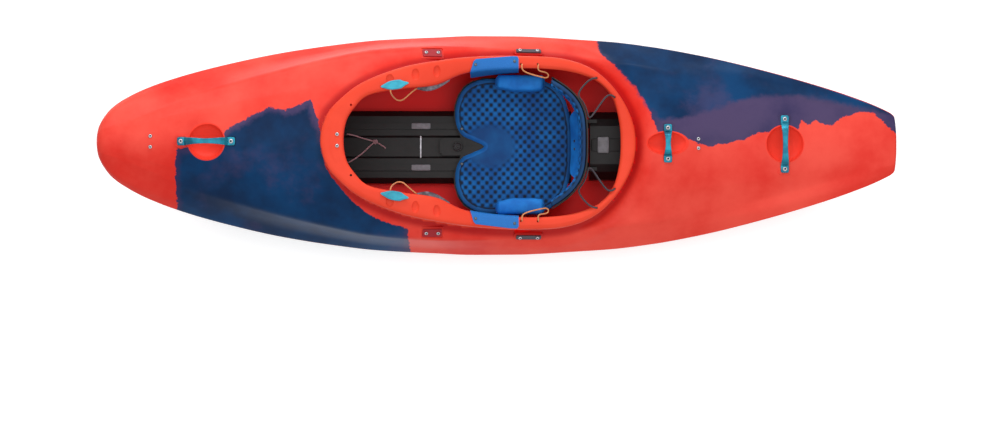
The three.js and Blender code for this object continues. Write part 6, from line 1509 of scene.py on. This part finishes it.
reflection_and_buckle_paint = satin_grey("reflection_and_buckle_grey", "#6f6c72", "#828087", 0.38)
reflection_strip_metal = satin_grey("reflection_strip_metal", "#8f8c92", "#c4c1c8", 0.30, 0.7)
# Painted reflection: the grey patches on the runners and the bright strip between them stand where a
# softbox's reflection lies on the console. The buckle on the tail is painted the same grey.
fittings = [(rounded_slab(f"runner_painted_reflection_{label}", [-0.262, side * 0.062 - 0.0088, 0.0574],
                      [-0.206, side * 0.062 + 0.0088, 0.0590], 0.002), reflection_and_buckle_paint, "grey_plastic")
            for label, side in (("port", -1), ("starboard", 1))]
fittings.append((rounded_slab("console_painted_reflection", [-0.2370, -0.0330, 0.0494], [-0.2330, 0.0330, 0.0510], 0.001),
                 reflection_strip_metal, "steel"))
fittings.append((rounded_slab("tail_strap", [0.2690, -0.0190, 0.1500], [0.3620, 0.0190, 0.1524], 0.002),
                 black_moulding, "black_plastic"))
fittings.append((rounded_slab("tail_buckle", [0.2880, -0.0240, 0.1515], [0.3220, 0.0240, 0.1565], 0.003),
                 reflection_and_buckle_paint, "grey_plastic"))
for piece, paint, slot in fittings:
    piece.data.materials.append(paint)
    piece.data.shade_smooth()
    piece.data.set_sharp_from_angle(angle=0.7)
    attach(piece, "hull")


# Cord guides: grey curved guides under the inner edges of the thigh grips, where the cords of the
# toggles run back to the backband. Their solids keep their shape.
guide_grey = satin_grey("guide_grey", "#35323a", "#7d7a84", 0.42)
for label in ("port", "starboard"):
    guide = bpy.data.objects[f"cord_guide_{label}"]
    guide.data.materials.clear()
    guide.data.materials.append(guide_grey)


# Pull toggles: turquoise wings of moulded plastic that lie on the coaming ahead of the thigh
# grips. Each has a crowned body with a shallow dished face and a pointed tail.
def toggle_rings():
    """Superellipse sections carried along the toggle: half width and half thickness follow a smooth
    table, and a dish 0.8 mm deep fades in over the middle of the top face."""
    table = np.array([[-1, .10], [-.93, .24], [-.72, .44], [-.55, .72], [-.42, .92], [-.20, .99], [.05, .99],
                      [.30, .92], [.52, .74], [.72, .48], [.90, .28], [1, .12]])
    at = np.sin(np.linspace(-np.pi / 2, np.pi / 2, 101))
    smooth = bezier_path(np.column_stack([table, np.zeros(len(table))]), 600)
    width = np.interp(at, smooth[:, 0], smooth[:, 1]) * np.sqrt(np.clip(1 - np.abs(at) ** 24, 0.01, 1))
    thick = 0.34 + 0.66 * np.sqrt(np.clip(1 - np.abs(at) ** 3, 0, 1))
    angle = np.arange(64) / 64 * 2 * np.pi
    u = np.sign(np.cos(angle)) * np.abs(np.cos(angle)) ** 0.75
    v = np.sign(np.sin(angle)) * np.abs(np.sin(angle)) ** 0.62
    across = 0.0135 * width[:, None] * u
    dish = 0.0009 * smooth_step(-np.hypot(at[:, None] / 0.55, u * 1.25), -1.0, -0.8) * (v > 0.3)
    up = 0.0040 * thick[:, None] * v - dish
    return np.stack([0.041 * at[:, None] + 0 * across, across, up], axis=2)


turquoise_moulding, shade = new_material("turquoise_moulding")
place = shade.here("Object")
grain, broad = shade.noise(700, 2, place, 0.5), shade.noise(30, 3, place, 0.5)
shade.surface(Base_Color=shade.blend(broad.over(0.3, 0.7), tint("#128ca6"), tint("#26a8c2")),
              Roughness=0.34 + grain * 0.12, Specular_IOR_Level=0.45, Normal=shade.bump(grain, 0.12, 0.0003))
toggle_axes = frame_matrix([[-0.9746, -0.1499, 0.1666], [0.152, -0.9884, 0.0], [0.1646, 0.0253, 0.986],
                            [-0.29863, 0.15809, 0.39502]])
for label, side in (("port", -1), ("starboard", 1)):
    matrix = np.array(toggle_axes)
    points = toggle_rings() @ matrix[:3, :3].T + matrix[:3, 3]
    toggle = skin(f"winged_toggle_{label}", points * [1, side, 1])
    toggle.data.materials.append(turquoise_moulding)
    toggle.data.shade_smooth()
    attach(toggle, f"toggle_{label}")
    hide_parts(f"toggle_{label}")


# Foam inside: the footrest's grey pad, and the two grey pillars that keep the deck up. Each is cut
# from a closed-cell block, with knife-cut faces and slightly eased edges.
def eased_block(node, name, width, cut=None):
    """The solid's own faces, merged, cut by a plane (point, normal) where one is given, with their
    sharp edges rounded to a width."""
    mesh = bpy.data.objects[node].data.copy()
    work = bmesh.new()
    work.from_mesh(mesh)
    bmesh.ops.remove_doubles(work, verts=work.verts, dist=1e-5)
    if cut:
        parts = work.verts[:] + work.edges[:] + work.faces[:]
        trimmed = bmesh.ops.bisect_plane(work, geom=parts, plane_co=cut[0], plane_no=cut[1], clear_outer=True)
        rim = [e for e in trimmed["geom_cut"] if isinstance(e, bmesh.types.BMEdge)]
        bmesh.ops.holes_fill(work, edges=rim, sides=0)
    bmesh.ops.dissolve_limit(work, angle_limit=0.02, verts=work.verts, edges=work.edges)
    bmesh.ops.recalc_face_normals(work, faces=work.faces)
    work.to_mesh(mesh)
    work.free()
    mesh.materials.clear()
    made = bpy.data.objects.new(name, mesh)
    bpy.context.scene.collection.objects.link(made)
    ease = made.modifiers.new("eased_edges", "BEVEL")
    ease.width, ease.segments, ease.limit_method, ease.angle_limit = width, 3, "ANGLE", 0.6
    ease.use_clamp_overlap = True
    mesh.shade_smooth()
    mesh.set_sharp_from_angle(angle=0.6)
    return made


grey_foam, shade = new_material("cut_grey_foam")
place = shade.here("Object")
cells, broad = shade.noise(900, 3, place, 0.6), shade.noise(18, 3, place, 0.5)
shade.surface(Base_Color=shade.blend(broad.over(0.3, 0.7), tint("#55555a"), tint("#6c6c72")),
              Roughness=0.78 + cells * 0.15, Specular_IOR_Level=0.2, Normal=shade.bump(cells, 0.35, 0.0006))
for node, name, body, width, cut in (
        ("footrest_pad", "eased_foot_pad", "footrest", 0.004, None),
        ("bow_pillar", "cut_bow_pillar", "hull", 0.003, None),
        ("stern_pillar", "cut_stern_pillar", "hull", 0.003, ((0.372, 0, 0.110), (-0.62, 0, 0.78)))):
    block = eased_block(node, name, width, cut)
    block.data.materials.append(grey_foam)
    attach(block, body)
    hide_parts(node)
